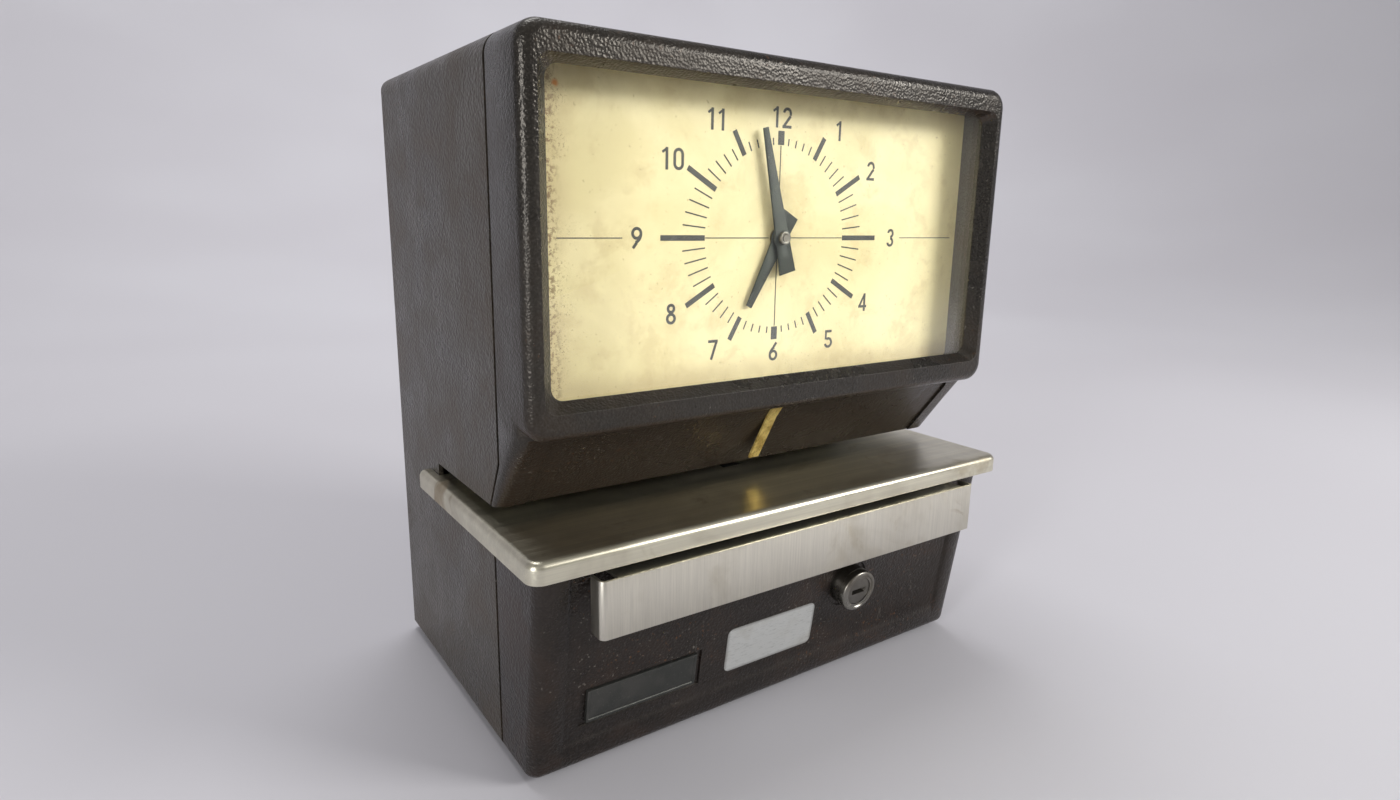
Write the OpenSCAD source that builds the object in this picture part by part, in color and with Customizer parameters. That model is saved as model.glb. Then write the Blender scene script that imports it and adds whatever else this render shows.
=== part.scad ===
// Bar-operated time clock: a head with a large dial over a steel table. A form goes into the throat
// between head and table, and the push bar strikes the date and time on it.
// Lengths are millimetres. Every module draws in case coordinates: X across, Y back from the case's
// front plane, Z up from the bottom of the case. The bezel's ring, the table and the push bar stand
// out in front of that plane. in_case() moves them to the centre of the footprint.

/* [Case] */
// Width of the case
case_w = 250; // [244:1:270]
// Height of the case, without its feet
case_h = 282; // [278:1:296]
// Depth from the front plane to the back
case_d = 165; // [160:1:180]
// Wall of the rear shell
shell_wall = 2; // [1.5:0.1:2.5]
// Radius of the case's top edges, seen from the front
corner_r = 9; // [7:0.5:14]
// Radius of the case's bottom edges, seen from the front
bottom_r = 4; // [3:0.5:6]
// Radius of the case's rear edges
rear_r = 6; // [5:0.5:14]
// Depth of the seam between bezel and rear shell
seam_y = 26.5; // [26:0.1:27]
// Depth of the seam between lower cover and rear shell
low_seam_y = 34; // [33.5:0.1:34.5]
// Width of the seam
seam_gap = 0.3; // [0.2:0.05:0.5]
// Height of the rubber feet
foot_h = 3; // [2:0.5:5]
// Radius of the rubber feet
foot_r = 9; // [7:0.5:11]

/* [Head] */
// Height of the head's underside above the table's surface
head_z = 5.4; // [5:0.1:6.5]
// Height of the crease under the bezel above the head's underside
crease_z = 33; // [31.5:0.5:34]
// Depth of the crease behind the front plane
crease_y = 5.3; // [4:0.1:6.5]
// Depth of the slanted face's lower edge behind the front plane
slant_foot_y = 31; // [30:0.1:31.2]
// Depth of the sunk panel in the slanted face
slant_panel_t = 1; // [0.5:0.1:1.2]
// Reach of the bezel's ring in front of the front plane
ring_out = 4; // [3:0.5:5]
// Radius of the ring's front edge
edge_r = 5; // [4:0.5:7]
// Wall of the bezel casting
bezel_wall = 2.4; // [2.2:0.1:2.5]
// Width of the window
window_w = 228; // [220:1:230]
// Height of the window
window_h = 114.2; // [110:0.1:116]
// Height of the window's lower edge above the crease
window_z = 14.4; // [13.2:0.1:15.2]
// Radius of the window's corners
window_r = 5; // [3:0.5:7]
// Width of the pointer strip on the head's slanted face
pointer_w = 5.5; // [4:0.5:7]

/* [Glass] */
// Depth of the glass behind the front plane
glass_y = 1.5; // [1:0.1:2]
// Thickness of the glass
glass_t = 3; // [2.5:0.1:3.5]
// Lap of the glass behind the bezel
glass_lap = 5.5; // [4.5:0.1:6]
// Wall of the frame that holds the glass
retainer_t = 1.5; // [1:0.1:2]

/* [Dial] */
// Depth of the dial's face behind the front plane
dial_y = 16.6; // [15.6:0.1:17]
// Thickness of the dial plate
dial_t = 1; // [0.8:0.1:1.2]
// Thickness of the printed marks
ink_t = 0.12; // [0.1:0.01:0.2]
// Radius of the inner ends of all the marks
mark_r = 38.5; // [36:0.1:40]
// Height of the numerals
numeral_h = 8.4; // [7:0.1:9]

/* [Hands] */
// Length of the minute hand from its axis to its tip
minute_len = 46; // [40:0.5:48]
// Length of the minute hand's tail
minute_tail = 15.4; // [10:0.2:18]
// Length of the hour hand from its axis to its tip
hour_len = 33; // [28:0.5:36]
// Length of the hour hand's tail
hour_tail = 11.5; // [8:0.5:13]
// Clock angle of the minute hand, in degrees from the 12
minute_angle = 346; // [0:1:359]
// Thickness of the hands
hand_t = 0.8; // [0.6:0.1:1]

/* [Going train] */
// Module of all the gears
gear_m = 0.5; // [0.48:0.01:0.52]
// Radius of the minute arbor
arbor_r = 2; // [1.8:0.1:2.2]
// Radius of the small pivots
pivot_r = 1.5; // [1.2:0.1:1.8]
// Running clearance of every pivot
pivot_play = 0.05; // [0.03:0.01:0.08]
// Thickness of the gear wheels
wheel_t = 2; // [1.6:0.1:2.4]
// Thickness of the movement plates
plate_t = 2; // [1.6:0.1:2.4]
// Depth of the movement's front plate behind the front plane
plate_y = 28; // [27.6:0.1:28.4]
// Space between the movement plates
plate_space = 28; // [27:0.5:29]
// Radius of the motor can
motor_r = 24; // [20:0.5:25]
// Depth of the motor can
motor_d = 24; // [18:1:30]

/* [Printing] */
// Height of the type shaft above the head's underside
type_rise = 17.6; // [17.2:0.1:18]
// Radius over the type
type_r = 17; // [16:0.1:17]
// Width of a type wheel
type_w = 3.6; // [3:0.1:3.7]
// Gap between the type wheels
type_gap = 0.3; // [0.2:0.05:0.4]
// Radius of the ribbon spools' flanges
spool_r = 14; // [12:0.5:14.5]
// Distance of the spools from the middle
spool_x = 46; // [44:0.5:50]
// Width of the ribbon
ribbon_w = 16; // [14:0.5:17]

/* [Table] */
// Width of the table over its rims
table_w = 261.2; // [258:0.2:266]
// Depth of the table's surface below the top of the case
table_z = 180; // [179:0.5:184]
// Sheet thickness of the table
table_t = 1.5; // [1.2:0.1:1.6]
// Height of the rim, surface included
rim_h = 8.4; // [7:0.1:8.8]
// Reach of the table in front of the front plane
table_front = 15.2; // [14:0.2:16]
// Radius of the table's front corners
table_r = 6; // [5:0.5:10]
// Radius of the roll between the table's surface and its rims
table_roll = 3; // [2.5:0.1:3.5]
// Depth of the throat behind the front plane
throat_y = 101; // [96:0.5:103]
// Depth of the side rims' rear ends behind the front plane
rim_back = 113; // [106:0.5:116]

/* [Lower cover] */
// Reach of the cover's top edge in front of the front plane
cover_top_y = 8.3; // [7.5:0.1:9]
// Depth of the cover's bottom edge behind the front plane
cover_foot_y = 5.1; // [4:0.1:6]
// Radius of the cover's front edges
cover_edge_r = 6; // [5:0.5:7]
// Wall of the cover
cover_wall = 3; // [2.8:0.1:3.2]
// Depth of the sunk panel in the cover's front
panel_t = 1.5; // [1:0.1:1.8]
// Distance of the sunk panels' side edges from the case's sides
panel_edge = 12.5; // [11:0.5:14]
// How far the cover pulls forward
cover_travel = 50; // [30:1:80]

/* [Print bar] */
// Length of the bar
bar_w = 211; // [204:1:216]
// Height of the bar's plate
bar_h = 23.3; // [20:0.1:24]
// Depth of the bar's top edge below the table's surface
bar_top = 10.8; // [10.4:0.1:11.2]
// Reach of the bar in front of the front plane
bar_out = 19.5; // [18.5:0.1:20.5]
// Sheet thickness of the bar
bar_t = 1.2; // [1:0.1:1.5]
// Travel of the bar
bar_travel = 4; // [3:0.1:4]
// Radius of the bar's push rods
rod_r = 3; // [2.5:0.1:3.2]
// Distance of the push rods from the middle
rod_x = 80; // [74:1:84]
// Depth of the push rods below the bar's top edge
rod_z = 16.2; // [15.7:0.1:16.7]
// Turns of each return spring
spring_turns = 4; // [3:1:5]
// Wire radius of the return springs
wire_r = 0.5; // [0.4:0.05:0.55]

/* [Lock] */
// Distance of the lock from the middle
lock_x = 39.5; // [36:0.5:44]
// Height of the lock
lock_z = 47; // [44:0.5:49]
// Radius of the lock's ring
lock_ring_r = 10.4; // [10:0.1:11]
// Radius of the lock plug
plug_r = 7; // [6:0.1:7.5]
// Reach of the lock in front of the cover's panel
lock_out = 9; // [7:0.5:10]
// Length of the lock's cam from its axis
cam_len = 18; // [16:0.5:20]

/* [Mounts] */
// Radius of the wall-mounting holes in the back
wall_hole_r = 3.25; // [2.5:0.05:4]
// Distance between the wall-mounting holes, across
wall_hole_w = 150; // [120:5:160]
// Distance between the wall-mounting holes, up
wall_hole_h = 180; // [150:5:190]
// Bore radius of the power inlet's bushing
inlet_bore_r = 3.6; // [3:0.1:4.5]

/* [Hidden] */
$fn = 64;

eps = 0.01;
seat = 0.3;
half_w = case_w / 2;
inlet_flange = 2;
front_y = -(case_d + inlet_flange - bar_out) / 2;

// Heights above the bottom of the case: table, head and push bar hang from the top of the case
table_up = case_h - table_z;
head_low = table_up + head_z;
crease_up = head_low + crease_z;
window_low = crease_up + window_z;
bar_high = table_up - bar_top;
rod_up = bar_high - rod_z;

// Head
dial_z = window_low + window_h / 2;
pointer_x = -3;
pane_x = window_w / 2 + glass_lap;
pane_z0 = window_low - glass_lap;
pane_z1 = window_low + window_h + glass_lap;
pocket_play = 0.3;
retainer_y = glass_y + glass_t;
slant = (slant_foot_y - crease_y) / (crease_up - head_low);
slant_angle = atan(slant);
crease_h = 6.6;
window_bevel = 3.8;
window_land = 0.5;
floor_t = 1.6;
boss_x = half_w - 13;
boss_z = [crease_up - 4, case_h - 14];
seam_turn_z = crease_up - 13.4;
seam_foot_y = slant_foot_y + 5.5;
panel_x = half_w - panel_edge;
slant_panel_r = 8;
boss_r = 4.5;
boss_y = dial_y + dial_t + 1;
screw_r = 1.9;
tab_w = 7;

// Movement
plate_back_y = plate_y + plate_t;
rear_plate_y = plate_back_y + plate_space;
movement_back = rear_plate_y + plate_t;
wheel_y = plate_back_y + 3;
centre_teeth = 60;
pinion_teeth = 12;
cannon_teeth = 15;
motion_teeth = 45;
hour_teeth = 48;
centre_r = gear_m * centre_teeth / 2;
motion_d = gear_m * (cannon_teeth + motion_teeth) / 2;
motor_d_axis = gear_m * (centre_teeth + pinion_teeth) / 2;
motor_offset = 13;
type_z = head_low + type_rise;
idler_drop = (dial_z - type_z - 2 * centre_r) / 2;
idler_x = sqrt(4 * centre_r * centre_r - idler_drop * idler_drop);
upper_idler_z = dial_z - idler_drop;
lower_idler_z = type_z + idler_drop;
plate_x0 = -62;
plate_x1 = 52;
plate_z0 = lower_idler_z - 5;
plate_z1 = dial_z + 42;
pillar_inset = 6;
pillar_r = 3;
hour_angle = 180 + minute_angle / 12;
hub_r = 4.5;
minute_hand_y = 13;
hour_hand_y = 14.5;
hour_pipe_r = 3.4;
hour_wheel_y = dial_y + dial_t + 1.4;

crossbar_zs = [dial_z - 42, dial_z + 28];
crossbar_h = 12;
crossbar_t = 3;
crossbar_screw_x = [plate_x0 + 18, plate_x1 - 18];
nut_r = 2.8;
nut_t = 2;

// Printing
type_y = wheel_y + 10;
type_pitch = type_w + type_gap;
type_end = type_y + 4 * type_pitch - type_gap;
ribbon_y0 = (type_y + type_end - ribbon_w) / 2;
print_x = 29;
ribbon_plate_y = type_end + 6;
print_y0 = ribbon_y0 - 2;
ribbon_t = 0.2;
ribbon_z = type_z - type_r - seat - ribbon_t;
spool_z = type_z + 7;
spool_drum_r = 10;
guide_x = 24;
guide_r = 1.5;
spindle_r = 2;

pad_h = 3;
hammer_drop = 17;
guide_play = 0.1;
pad_top = table_up - 0.5;

// Frames
frame_x = half_w - 31;
floor_back = throat_y + 3;
frame_t = 2;
frame_flange = 14;
frame_hole_r = 13;
frame_hole_y = floor_back - 6;
tie_z = rod_up - 15;
tie_h = 20;
frame_y0 = low_seam_y + 4;
frame_y1 = case_d - shell_wall - 5;
base_t = 2;
base_z = shell_wall;
frame_z0 = base_z + base_t;
table_under = table_up - table_t;
cover_h = table_up - rim_h - 0.4;
foot_x = frame_x - 8;
foot_ys = [low_seam_y + 14, case_d - 18];
head_r = 3.8;
inlet_x = -85;
inlet_z = 24;
inlet_r = 7;
dowel_x = half_w - 20;
dowel_z = 10;
dowel_r = 2.5;
boss_front = 16;
panel_z = 18;

// Push bar, rocker and hammer
tilt = atan((cover_top_y + cover_foot_y) / cover_h);
bar_back = bar_t - bar_out;
pivot_y = low_seam_y - 5;
pivot_z = rod_up + 11;
rocker_r = 5;
rocker_bore = 3;
nose_r = 3;
lift_r = 2.5;
lift_y = 14.5;
rod_end = pivot_y - nose_r - seat;
bush_r = 6;
bush_flange = 1;
bush_y = cover_top_y - (cover_h - rod_up - bush_r - bush_flange) * tan(tilt) - panel_t + seat;
spring_r = rod_r + 1.6;
spring_front = bar_back + wire_r + 0.1;
spring_back = -bush_y - bush_flange - wire_r - 0.1;
rings = 8 * spring_turns;
spring_pitch = (spring_back - spring_front) / spring_turns;
lug_z = pivot_z + lift_r + seat;
flange_inset = 7.5;
hammer_x = 3;
hammer_y0 = pivot_y + lift_y + lift_r + seat;
hammer_y1 = type_end - 1;
pad_x = hammer_x + 1.5;
pad_y0 = hammer_y0 - 3;
pad_y1 = hammer_y1 + 1;

// Plates on the cover
recess = [-104.2, -45.4, 19, 36.8];
recess_t = 0.8;
name_plate = [-101.2, -48.2, 20.4, 35.9];
label = [-31.8, 19.7, 19.9, 42.2];
label_t = 0.3;

// Lock
lock_depth = 16;
lock_barrel_r = plug_r + 2;
dimple_r = lock_ring_r + 2.2;
dimple_t = 0.8;
cam_half_w = 4;
cam_t = 2;
cam_front = lock_depth - cam_t - 0.3;
keeper_t = 2;
keeper_y = cover_foot_y - lock_z * tan(tilt) + panel_t / cos(tilt)
    + cam_front * cos(tilt) - cam_half_w * sin(tilt) - keeper_t - 0.5;

// Extrudes an outline seen from the front, from depth y0 back to y1
module front_slab(y0, y1) {
    translate([0, y1, 0]) rotate([90, 0, 0]) linear_extrude(y1 - y0) children();
}

// Extrudes an outline seen from the side, depth across and height up, from x0 to x1
module side_slab(x0, x1) {
    translate([x0, 0, 0]) rotate([90, 0, 90]) linear_extrude(x1 - x0) children();
}

// Extrudes an outline seen from above, from z0 to z1
module plan_slab(z0, z1) {
    translate([0, 0, z0]) linear_extrude(z1 - z0) children();
}

module block(x0, x1, y0, y1, z0, z1) {
    translate([x0, y0, z0]) cube([x1 - x0, y1 - y0, z1 - z0]);
}

module rod_along_x(y, z, x0, x1, r) {
    translate([x0, y, z]) rotate([0, 90, 0]) cylinder(h = x1 - x0, r = r);
}

module rod_along_y(x, z, y0, y1, r) {
    translate([x, y1, z]) rotate([90, 0, 0]) cylinder(h = y1 - y0, r = r);
}

module rod_along_z(x, y, z0, z1, r) {
    translate([x, y, z0]) cylinder(h = z1 - z0, r = r);
}

module in_case() {
    translate([0, front_y, foot_h]) children();
}

// Rectangle from (a0, b0) to (a1, b1), corner radii anticlockwise from the low corner
module round_rect(a0, a1, b0, b1, r) {
    corners = [[a0, b0, 1, 1], [a1, b0, -1, 1], [a1, b1, -1, -1], [a0, b1, 1, -1]];
    difference() {
        translate([a0, b0]) square([a1 - a0, b1 - b0]);
        for (i = [0:3]) {
            if (r[i] > 0) {
                translate([corners[i][0], corners[i][1]])
                    mirror([corners[i][2] < 0 ? 1 : 0, 0])
                        mirror([0, corners[i][3] < 0 ? 1 : 0]) corner_cut(r[i]);
            }
        }
    }
}

// What a corner of radius r loses
module corner_cut(r) {
    difference() {
        translate([-1, -1]) square(r + 1);
        translate([r, r]) circle(r);
    }
}

// Involute gear outline; phase is the direction of a tooth's middle, in degrees
function involute(a) = tan(a) * 180 / PI - a;
function tooth_half(n, r) =
    let (base = gear_m * n / 2 * cos(20))
    72 / n + involute(20) - involute(acos(min(1, base / max(r, base))));
function gear_points(n, phase) =
    let (
        pitch = gear_m * n / 2,
        radii = [pitch - 1.2 * gear_m, pitch, pitch + 0.9 * gear_m],
        half = [tooth_half(n, radii[0]), tooth_half(n, radii[1]), tooth_half(n, radii[2])]
    )
    [
        for (i = [0:n - 1])
            for (k = [0:5])
                let (j = k < 3 ? k : 5 - k, side = k < 3 ? -1 : 1)
                let (a = phase + i * 360 / n + side * half[j])
                radii[j] * [cos(a), sin(a)]
    ];

// Phase of a gear of n2 teeth that meshes with one of n1 teeth at phase p1, in direction d from it
function mate_phase(p1, n1, n2, d) =
    d + 180 - (0.5 - (d - p1) * n1 / 360) * 360 / n2;

centre_phase = 0;
upper_dir = -atan2(idler_drop, idler_x);
upper_phase = mate_phase(centre_phase, centre_teeth, centre_teeth, upper_dir);
lower_phase = mate_phase(upper_phase, centre_teeth, centre_teeth, -90);
type_dir = -180 + atan2(idler_drop, idler_x);
type_phase = mate_phase(lower_phase, centre_teeth, centre_teeth, type_dir);
cannon_phase = 0;
motion_phase = mate_phase(cannon_phase, cannon_teeth, motion_teeth, -90);
motion_pinion_phase = 90;
hour_phase = mate_phase(motion_pinion_phase, pinion_teeth, hour_teeth, 90);
motor_phase = mate_phase(centre_phase, centre_teeth, pinion_teeth, 180);

module gear(x, z, n, phase, y0, y1) {
    front_slab(y0, y1) translate([x, z]) polygon(gear_points(n, phase));
}

// Round-edged block of the case, drawn in by inset on every side, behind depth y0
module case_block(inset, y0) {
    side = half_w - inset;
    top = case_h - inset;
    back = case_d - inset;
    top_r = corner_r - inset;
    low_r = bottom_r - inset;
    back_r = rear_r - inset;
    intersection() {
        front_slab(y0, back) round_rect(-side, side, inset, top, [low_r, low_r, top_r, top_r]);
        side_slab(-side, side) round_rect(y0 - 1, back, inset, top, [0, back_r, back_r, 0]);
        plan_slab(inset, top) round_rect(-side, side, y0 - 1, back, [0, 0, back_r, back_r]);
    }
}

module rear_shell() {
    color("#4a4038") in_case() difference() {
        union() {
            difference() {
                case_block(0, seam_y + seam_gap);
                case_block(shell_wall, seam_y - 1);
                // throat, and the slots through which the table's sheet passes the side walls
                block(-half_w - 1, half_w + 1, seam_y, throat_y + seat, table_under, head_low);
                // below its turn the seam runs back to the slanted face's foot and the lower cover
                side_slab(-half_w - 1, half_w + 1) translate([seam_gap, 0]) polygon([
                    [0, -1], [low_seam_y, -1], [low_seam_y, table_under], [seam_foot_y, table_under],
                    [seam_foot_y, head_low], [seam_y, seam_turn_z], [0, seam_turn_z]
                ]);
            }
            // tabs for the bezel's screws
            for (x0 = [1 - half_w, boss_x - tab_w]) {
                for (z = boss_z) {
                    block(x0, x0 + half_w - 1 - boss_x + tab_w,
                        seam_y + seam_gap, seam_y + seam_gap + shell_wall, z - tab_w, z + tab_w);
                }
            }
        }
        for (s = [-1, 1]) {
            for (z = boss_z) {
                rod_along_y(s * boss_x, z, seam_y, seam_y + 4, screw_r + 0.3);
            }
            for (z = [-1, 1]) {
                rod_along_y(s * wall_hole_w / 2, case_h / 2 + z * wall_hole_h / 2,
                    case_d - 5, case_d + 1, wall_hole_r);
            }
            for (y = foot_ys) {
                rod_along_z(s * foot_x, y, -1, shell_wall + 1, screw_r + pivot_play);
            }
        }
        rod_along_y(inlet_x, inlet_z, case_d - 5, case_d + 1, inlet_r + pivot_play);
    }
}

// Side outline of the bezel casting: rounded top edge, roll down to the crease, slanted face
bezel_side = concat(
    [[seam_y, case_h]],
    [for (a = [90:15:180])
        [edge_r - ring_out + edge_r * cos(a), case_h - edge_r + edge_r * sin(a)]],
    [for (a = [180:15:270])
        [crease_y + (crease_y + ring_out) * cos(a), crease_up + crease_h + crease_h * sin(a)]],
    [[slant_foot_y, head_low], [seam_foot_y, head_low], [seam_y, seam_turn_z]]
);

module bezel_block() {
    difference() {
        intersection() {
            side_slab(-half_w, half_w) polygon(bezel_side);
            front_slab(-ring_out, seam_foot_y)
                round_rect(-half_w, half_w, head_low, case_h, [0, 0, corner_r, corner_r]);
            plan_slab(0, case_h)
                round_rect(-half_w, half_w, -ring_out, seam_foot_y, [edge_r, edge_r, 0, 0]);
        }
        // lower corners of the ring, in front of the slanted face
        for (s = [0, 1]) {
            mirror([s, 0, 0]) front_slab(-ring_out - 1, crease_y)
                translate([-half_w, crease_up]) corner_cut(corner_r);
        }
    }
}

// Height of the slanted face's inside at depth y
function inside_z(y) = head_low + (slant_foot_y - y) / slant + bezel_wall / sin(slant_angle);

// Puts children on the slanted face: Y points into the head, Z up the face, the origin is on the crease
module on_slant() {
    translate([0, crease_y, crease_up]) rotate([slant_angle, 0, 0]) children();
}

module front_bezel() {
    side = half_w - bezel_wall;
    top = case_h - bezel_wall;
    inner_r = corner_r - bezel_wall;
    slant_len = norm([slant_foot_y - crease_y, crease_up - head_low]);
    color("#33312f") in_case() difference() {
        union() {
            difference() {
                bezel_block();
                // hollow behind the ring, down to the inside of the slanted face
                intersection() {
                    side_slab(-side, side) polygon([
                        [edge_r, top], [seam_foot_y + 1, top],
                        [seam_foot_y + 1, inside_z(seam_foot_y + 1)], [crease_y + 2, inside_z(crease_y + 2)],
                        [edge_r, pane_z0]
                    ]);
                    front_slab(0, seam_foot_y + 1)
                        round_rect(-side, side, head_low - 1, top, [0, 0, inner_r, inner_r]);
                }
                // sunk panel of the slanted face, up to the crease
                on_slant() front_slab(-1, slant_panel_t)
                    round_rect(-panel_x, panel_x, -slant_len - 2, 0, [0, 0, slant_panel_r, slant_panel_r]);
            }
            // screw bosses, joined to the side walls by webs
            for (z = boss_z) {
                for (s = [-1, 1]) {
                    rod_along_y(s * boss_x, z, boss_y, seam_y, boss_r);
                }
                for (x0 = [-side - 1, boss_x]) {
                    block(x0, x0 + side + 1 - boss_x, boss_y, seam_y, z - 2, z + 2);
                }
            }
        }
        for (s = [-1, 1]) {
            for (z = boss_z) {
                rod_along_y(s * boss_x, z, boss_y + 3, seam_y + 1, screw_r + pivot_play);
            }
        }
        // pocket of the glass and its frame, and the window
        front_slab(glass_y, edge_r + eps) round_rect(-pane_x - pocket_play, pane_x + pocket_play,
            pane_z0 - pocket_play, pane_z1 + pocket_play, [4, 4, 4, 4]);
        window_hole();
    }
}

// Window through the ring: a short straight land at the glass, from which it widens to the front
module window_hole() {
    side = window_w / 2;
    high = window_low + window_h;
    y0 = -ring_out - 1;
    y1 = glass_y - window_land;
    wide = window_bevel * (y1 - y0) / (y1 + ring_out);
    front_slab(y0, glass_y + eps)
        round_rect(-side, side, window_low, high, [window_r, window_r, window_r, window_r]);
    plan_slab(window_low + window_r, high - window_r)
        polygon([[-side - wide, y0], [side + wide, y0], [side, y1], [-side, y1]]);
    side_slab(window_r - side, side - window_r)
        polygon([[y0, window_low - wide], [y1, window_low], [y1, high], [y0, high + wide]]);
    for (x = [window_r - side, side - window_r]) {
        for (z = [window_low + window_r, high - window_r]) {
            translate([x, y1, z]) rotate([90, 0, 0])
                cylinder(h = y1 - y0, r1 = window_r, r2 = window_r + wide);
        }
    }
}

module dial_glass() {
    color("#cfd6d0", 0.3) in_case() front_slab(glass_y, glass_y + glass_t)
        round_rect(-pane_x, pane_x, pane_z0, pane_z1, [4, 4, 4, 4]);
}

module glass_retainer() {
    t = retainer_t;
    color("#2b2825") in_case() front_slab(retainer_y, dial_y) difference() {
        round_rect(-pane_x, pane_x, pane_z0, pane_z1, [4, 4, 4, 4]);
        round_rect(-pane_x + t, pane_x - t, pane_z0 + t, pane_z1 - t, [2.5, 2.5, 2.5, 2.5]);
    }
}

// Brass strip, flat on the slanted face at its top and standing off it lower down
module pointer_strip() {
    t = 1;
    foot = 7;
    reach = 25;
    color("#c9a227") in_case() on_slant()
        side_slab(pointer_x - pointer_w / 2, pointer_x + pointer_w / 2)
            translate([slant_panel_t, -2]) rotate(-90) mirror([0, 1]) union() {
                square([foot, t]);
                translate([foot - 0.1, 0]) rotate(9) square([reach, t]);
            }
}

module dial_plate() {
    color("#d9cf9f") in_case() difference() {
        front_slab(dial_y, dial_y + dial_t) round_rect(-pane_x, pane_x, pane_z0, pane_z1, [3, 3, 3, 3]);
        rod_along_y(0, dial_z, dial_y - 1, dial_y + dial_t + 1, hour_pipe_r + 0.8);
    }
}

// Outer end of an hour mark, k hours from the 12: longest towards 3 and 9
function hour_mark_end(k) = 44.2 + 15.5 * (k % 6 > 3 ? 6 - k % 6 : k % 6) / 3;

// Outer end of a minute mark, on an oval
function minute_mark_end(a) =
    let (w = 49.7, h = 41.3) w * h / norm([w * cos(a), h * sin(a)]);

// Places of the numerals 12, 1, 2 and 3 about the dial's middle; the others mirror them
numeral_at = [[0, 49.6], [33.2, 46.4], [54.4, 30.2], [70.4, 0]];
function numeral_place(k) =
    let (q = k % 6, j = q > 3 ? 6 - q : q, a = 30 * k, p = numeral_at[j])
    [sin(a) < 0 ? -p[0] : p[0], cos(a) < -0.01 ? -p[1] : p[1]];

// Numerals in a cell one unit high, drawn about the cell's middle with strokes
stroke = 0.14;
bowl_r = 0.29;
module bar_between(p, q, w) {
    d = q - p;
    translate(p) rotate(atan2(d[1], d[0])) translate([0, -w / 2]) square([norm(d), w]);
}
module ring(c, r, w) {
    translate(c) difference() {
        circle(r);
        circle(r - w);
    }
}
module arc_band(c, r, w, a0, a1) {
    mid = (a0 + a1) / 2;
    intersection() {
        ring(c, r, w);
        translate(c) polygon([
            [0, 0], 2 * [cos(a0), sin(a0)], 2 * [cos((a0 + mid) / 2), sin((a0 + mid) / 2)],
            2 * [cos(mid), sin(mid)], 2 * [cos((a1 + mid) / 2), sin((a1 + mid) / 2)],
            2 * [cos(a1), sin(a1)]
        ]);
    }
}
module oval_ring(r, h, w) {
    difference() {
        union() {
            translate([0, h - r]) circle(r);
            translate([0, r - h]) circle(r);
            square([2 * r, 2 * (h - r)], center = true);
        }
        union() {
            translate([0, h - r]) circle(r - w);
            translate([0, r - h]) circle(r - w);
            square([2 * (r - w), 2 * (h - r)], center = true);
        }
    }
}
module digit(n) {
    w = stroke;
    r = bowl_r;
    low = [0, r - 0.5];
    if (n == 0) {
        oval_ring(r, 0.5, w);
    }
    if (n == 1) {
        translate([-0.02, -0.5]) square([w, 1]);
        bar_between([-0.2, 0.27], [0.05, 0.44], w * 0.8);
    }
    if (n == 2) {
        arc_band([0, 0.5 - r], r, w, -20, 172);
        bar_between([-0.25, -0.46], [0.22, 0.1], w);
        translate([-r, -0.5]) square([2 * r, w]);
    }
    if (n == 3) {
        arc_band([0, 0.5 - 0.26], 0.26, w, -90, 170);
        arc_band([0, 0.27 - 0.5], 0.27, w, -170, 90);
    }
    if (n == 4) {
        translate([0.06, -0.5]) square([w, 1]);
        translate([-0.32, -0.3]) square([0.62, w]);
        bar_between([-0.27, -0.25], [0.13, 0.47], w * 0.85);
    }
    if (n == 5) {
        arc_band([0, -0.2], 0.3, w, -165, 125);
        translate([-0.25, -0.02]) square([w * 0.85, 0.5]);
        translate([-0.25, 0.5 - w]) square([0.48, w]);
    }
    if (n == 6) {
        ring(low, r, w);
        arc_band([0.5 - r, -0.2], 0.5, w, 110, 180);
        bar_between([0.0, 0.21], [0.2, 0.46], w);
    }
    if (n == 7) {
        translate([-0.29, 0.5 - w]) square([0.58, w]);
        bar_between([-0.1, -0.5], [0.24, 0.46], w);
    }
    if (n == 8) {
        ring([0, 0.5 - 0.24], 0.24, w);
        ring([0, 0.28 - 0.5], 0.28, w);
    }
    if (n == 9) {
        rotate(180) digit(6);
    }
}
module numeral(n) {
    if (n < 10) {
        digit(n);
    } else {
        translate([-0.36, 0]) digit(1);
        translate([n == 11 ? 0.26 : 0.34, 0]) digit(n - 10);
    }
}

// Printed bar of width w, from radius r0 out to r1, at clock angle a
module dial_mark(a, r0, r1, w) {
    rotate(-a) translate([-w / 2, r0]) square([w, r1 - r0]);
}

module dial_markings() {
    hour_w = 2.2;
    six_w = 3.3;
    minute_w = 0.56;
    line_w = 0.4;
    line_start = 76.8;
    line_stop = 10;
    middle_r = 5;
    color("#2c2a26") in_case() front_slab(dial_y - ink_t, dial_y) translate([0, dial_z]) {
        for (k = [0:11]) {
            dial_mark(30 * k, mark_r, hour_mark_end(k), k % 6 == 0 ? six_w : hour_w);
        }
        for (k = [0:59]) {
            if (k % 5 != 0) {
                dial_mark(6 * k, mark_r, minute_mark_end(6 * k), minute_w);
            }
        }
        for (k = [1:12]) {
            translate(numeral_place(k)) scale(numeral_h) numeral(k);
        }
        // hair lines through the middle, and on past the 9 and the 3
        for (a = [0:90:270]) {
            dial_mark(a, middle_r, mark_r - seat, line_w);
        }
        dial_mark(-90, line_start, window_w / 2 - line_stop, line_w);
        dial_mark(90, line_start, window_w / 2, line_w);
    }
}

function plate_corners() = [
    for (x = [plate_x0 + pillar_inset, plate_x1 - pillar_inset])
        for (z = [plate_z0 + pillar_inset, plate_z1 - pillar_inset]) [x, z]
];

module dial_posts() {
    color("#b7b2a4") in_case() for (p = plate_corners()) {
        rod_along_y(p[0], p[1], dial_y + dial_t, plate_y, 2.5);
    }
}

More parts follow.
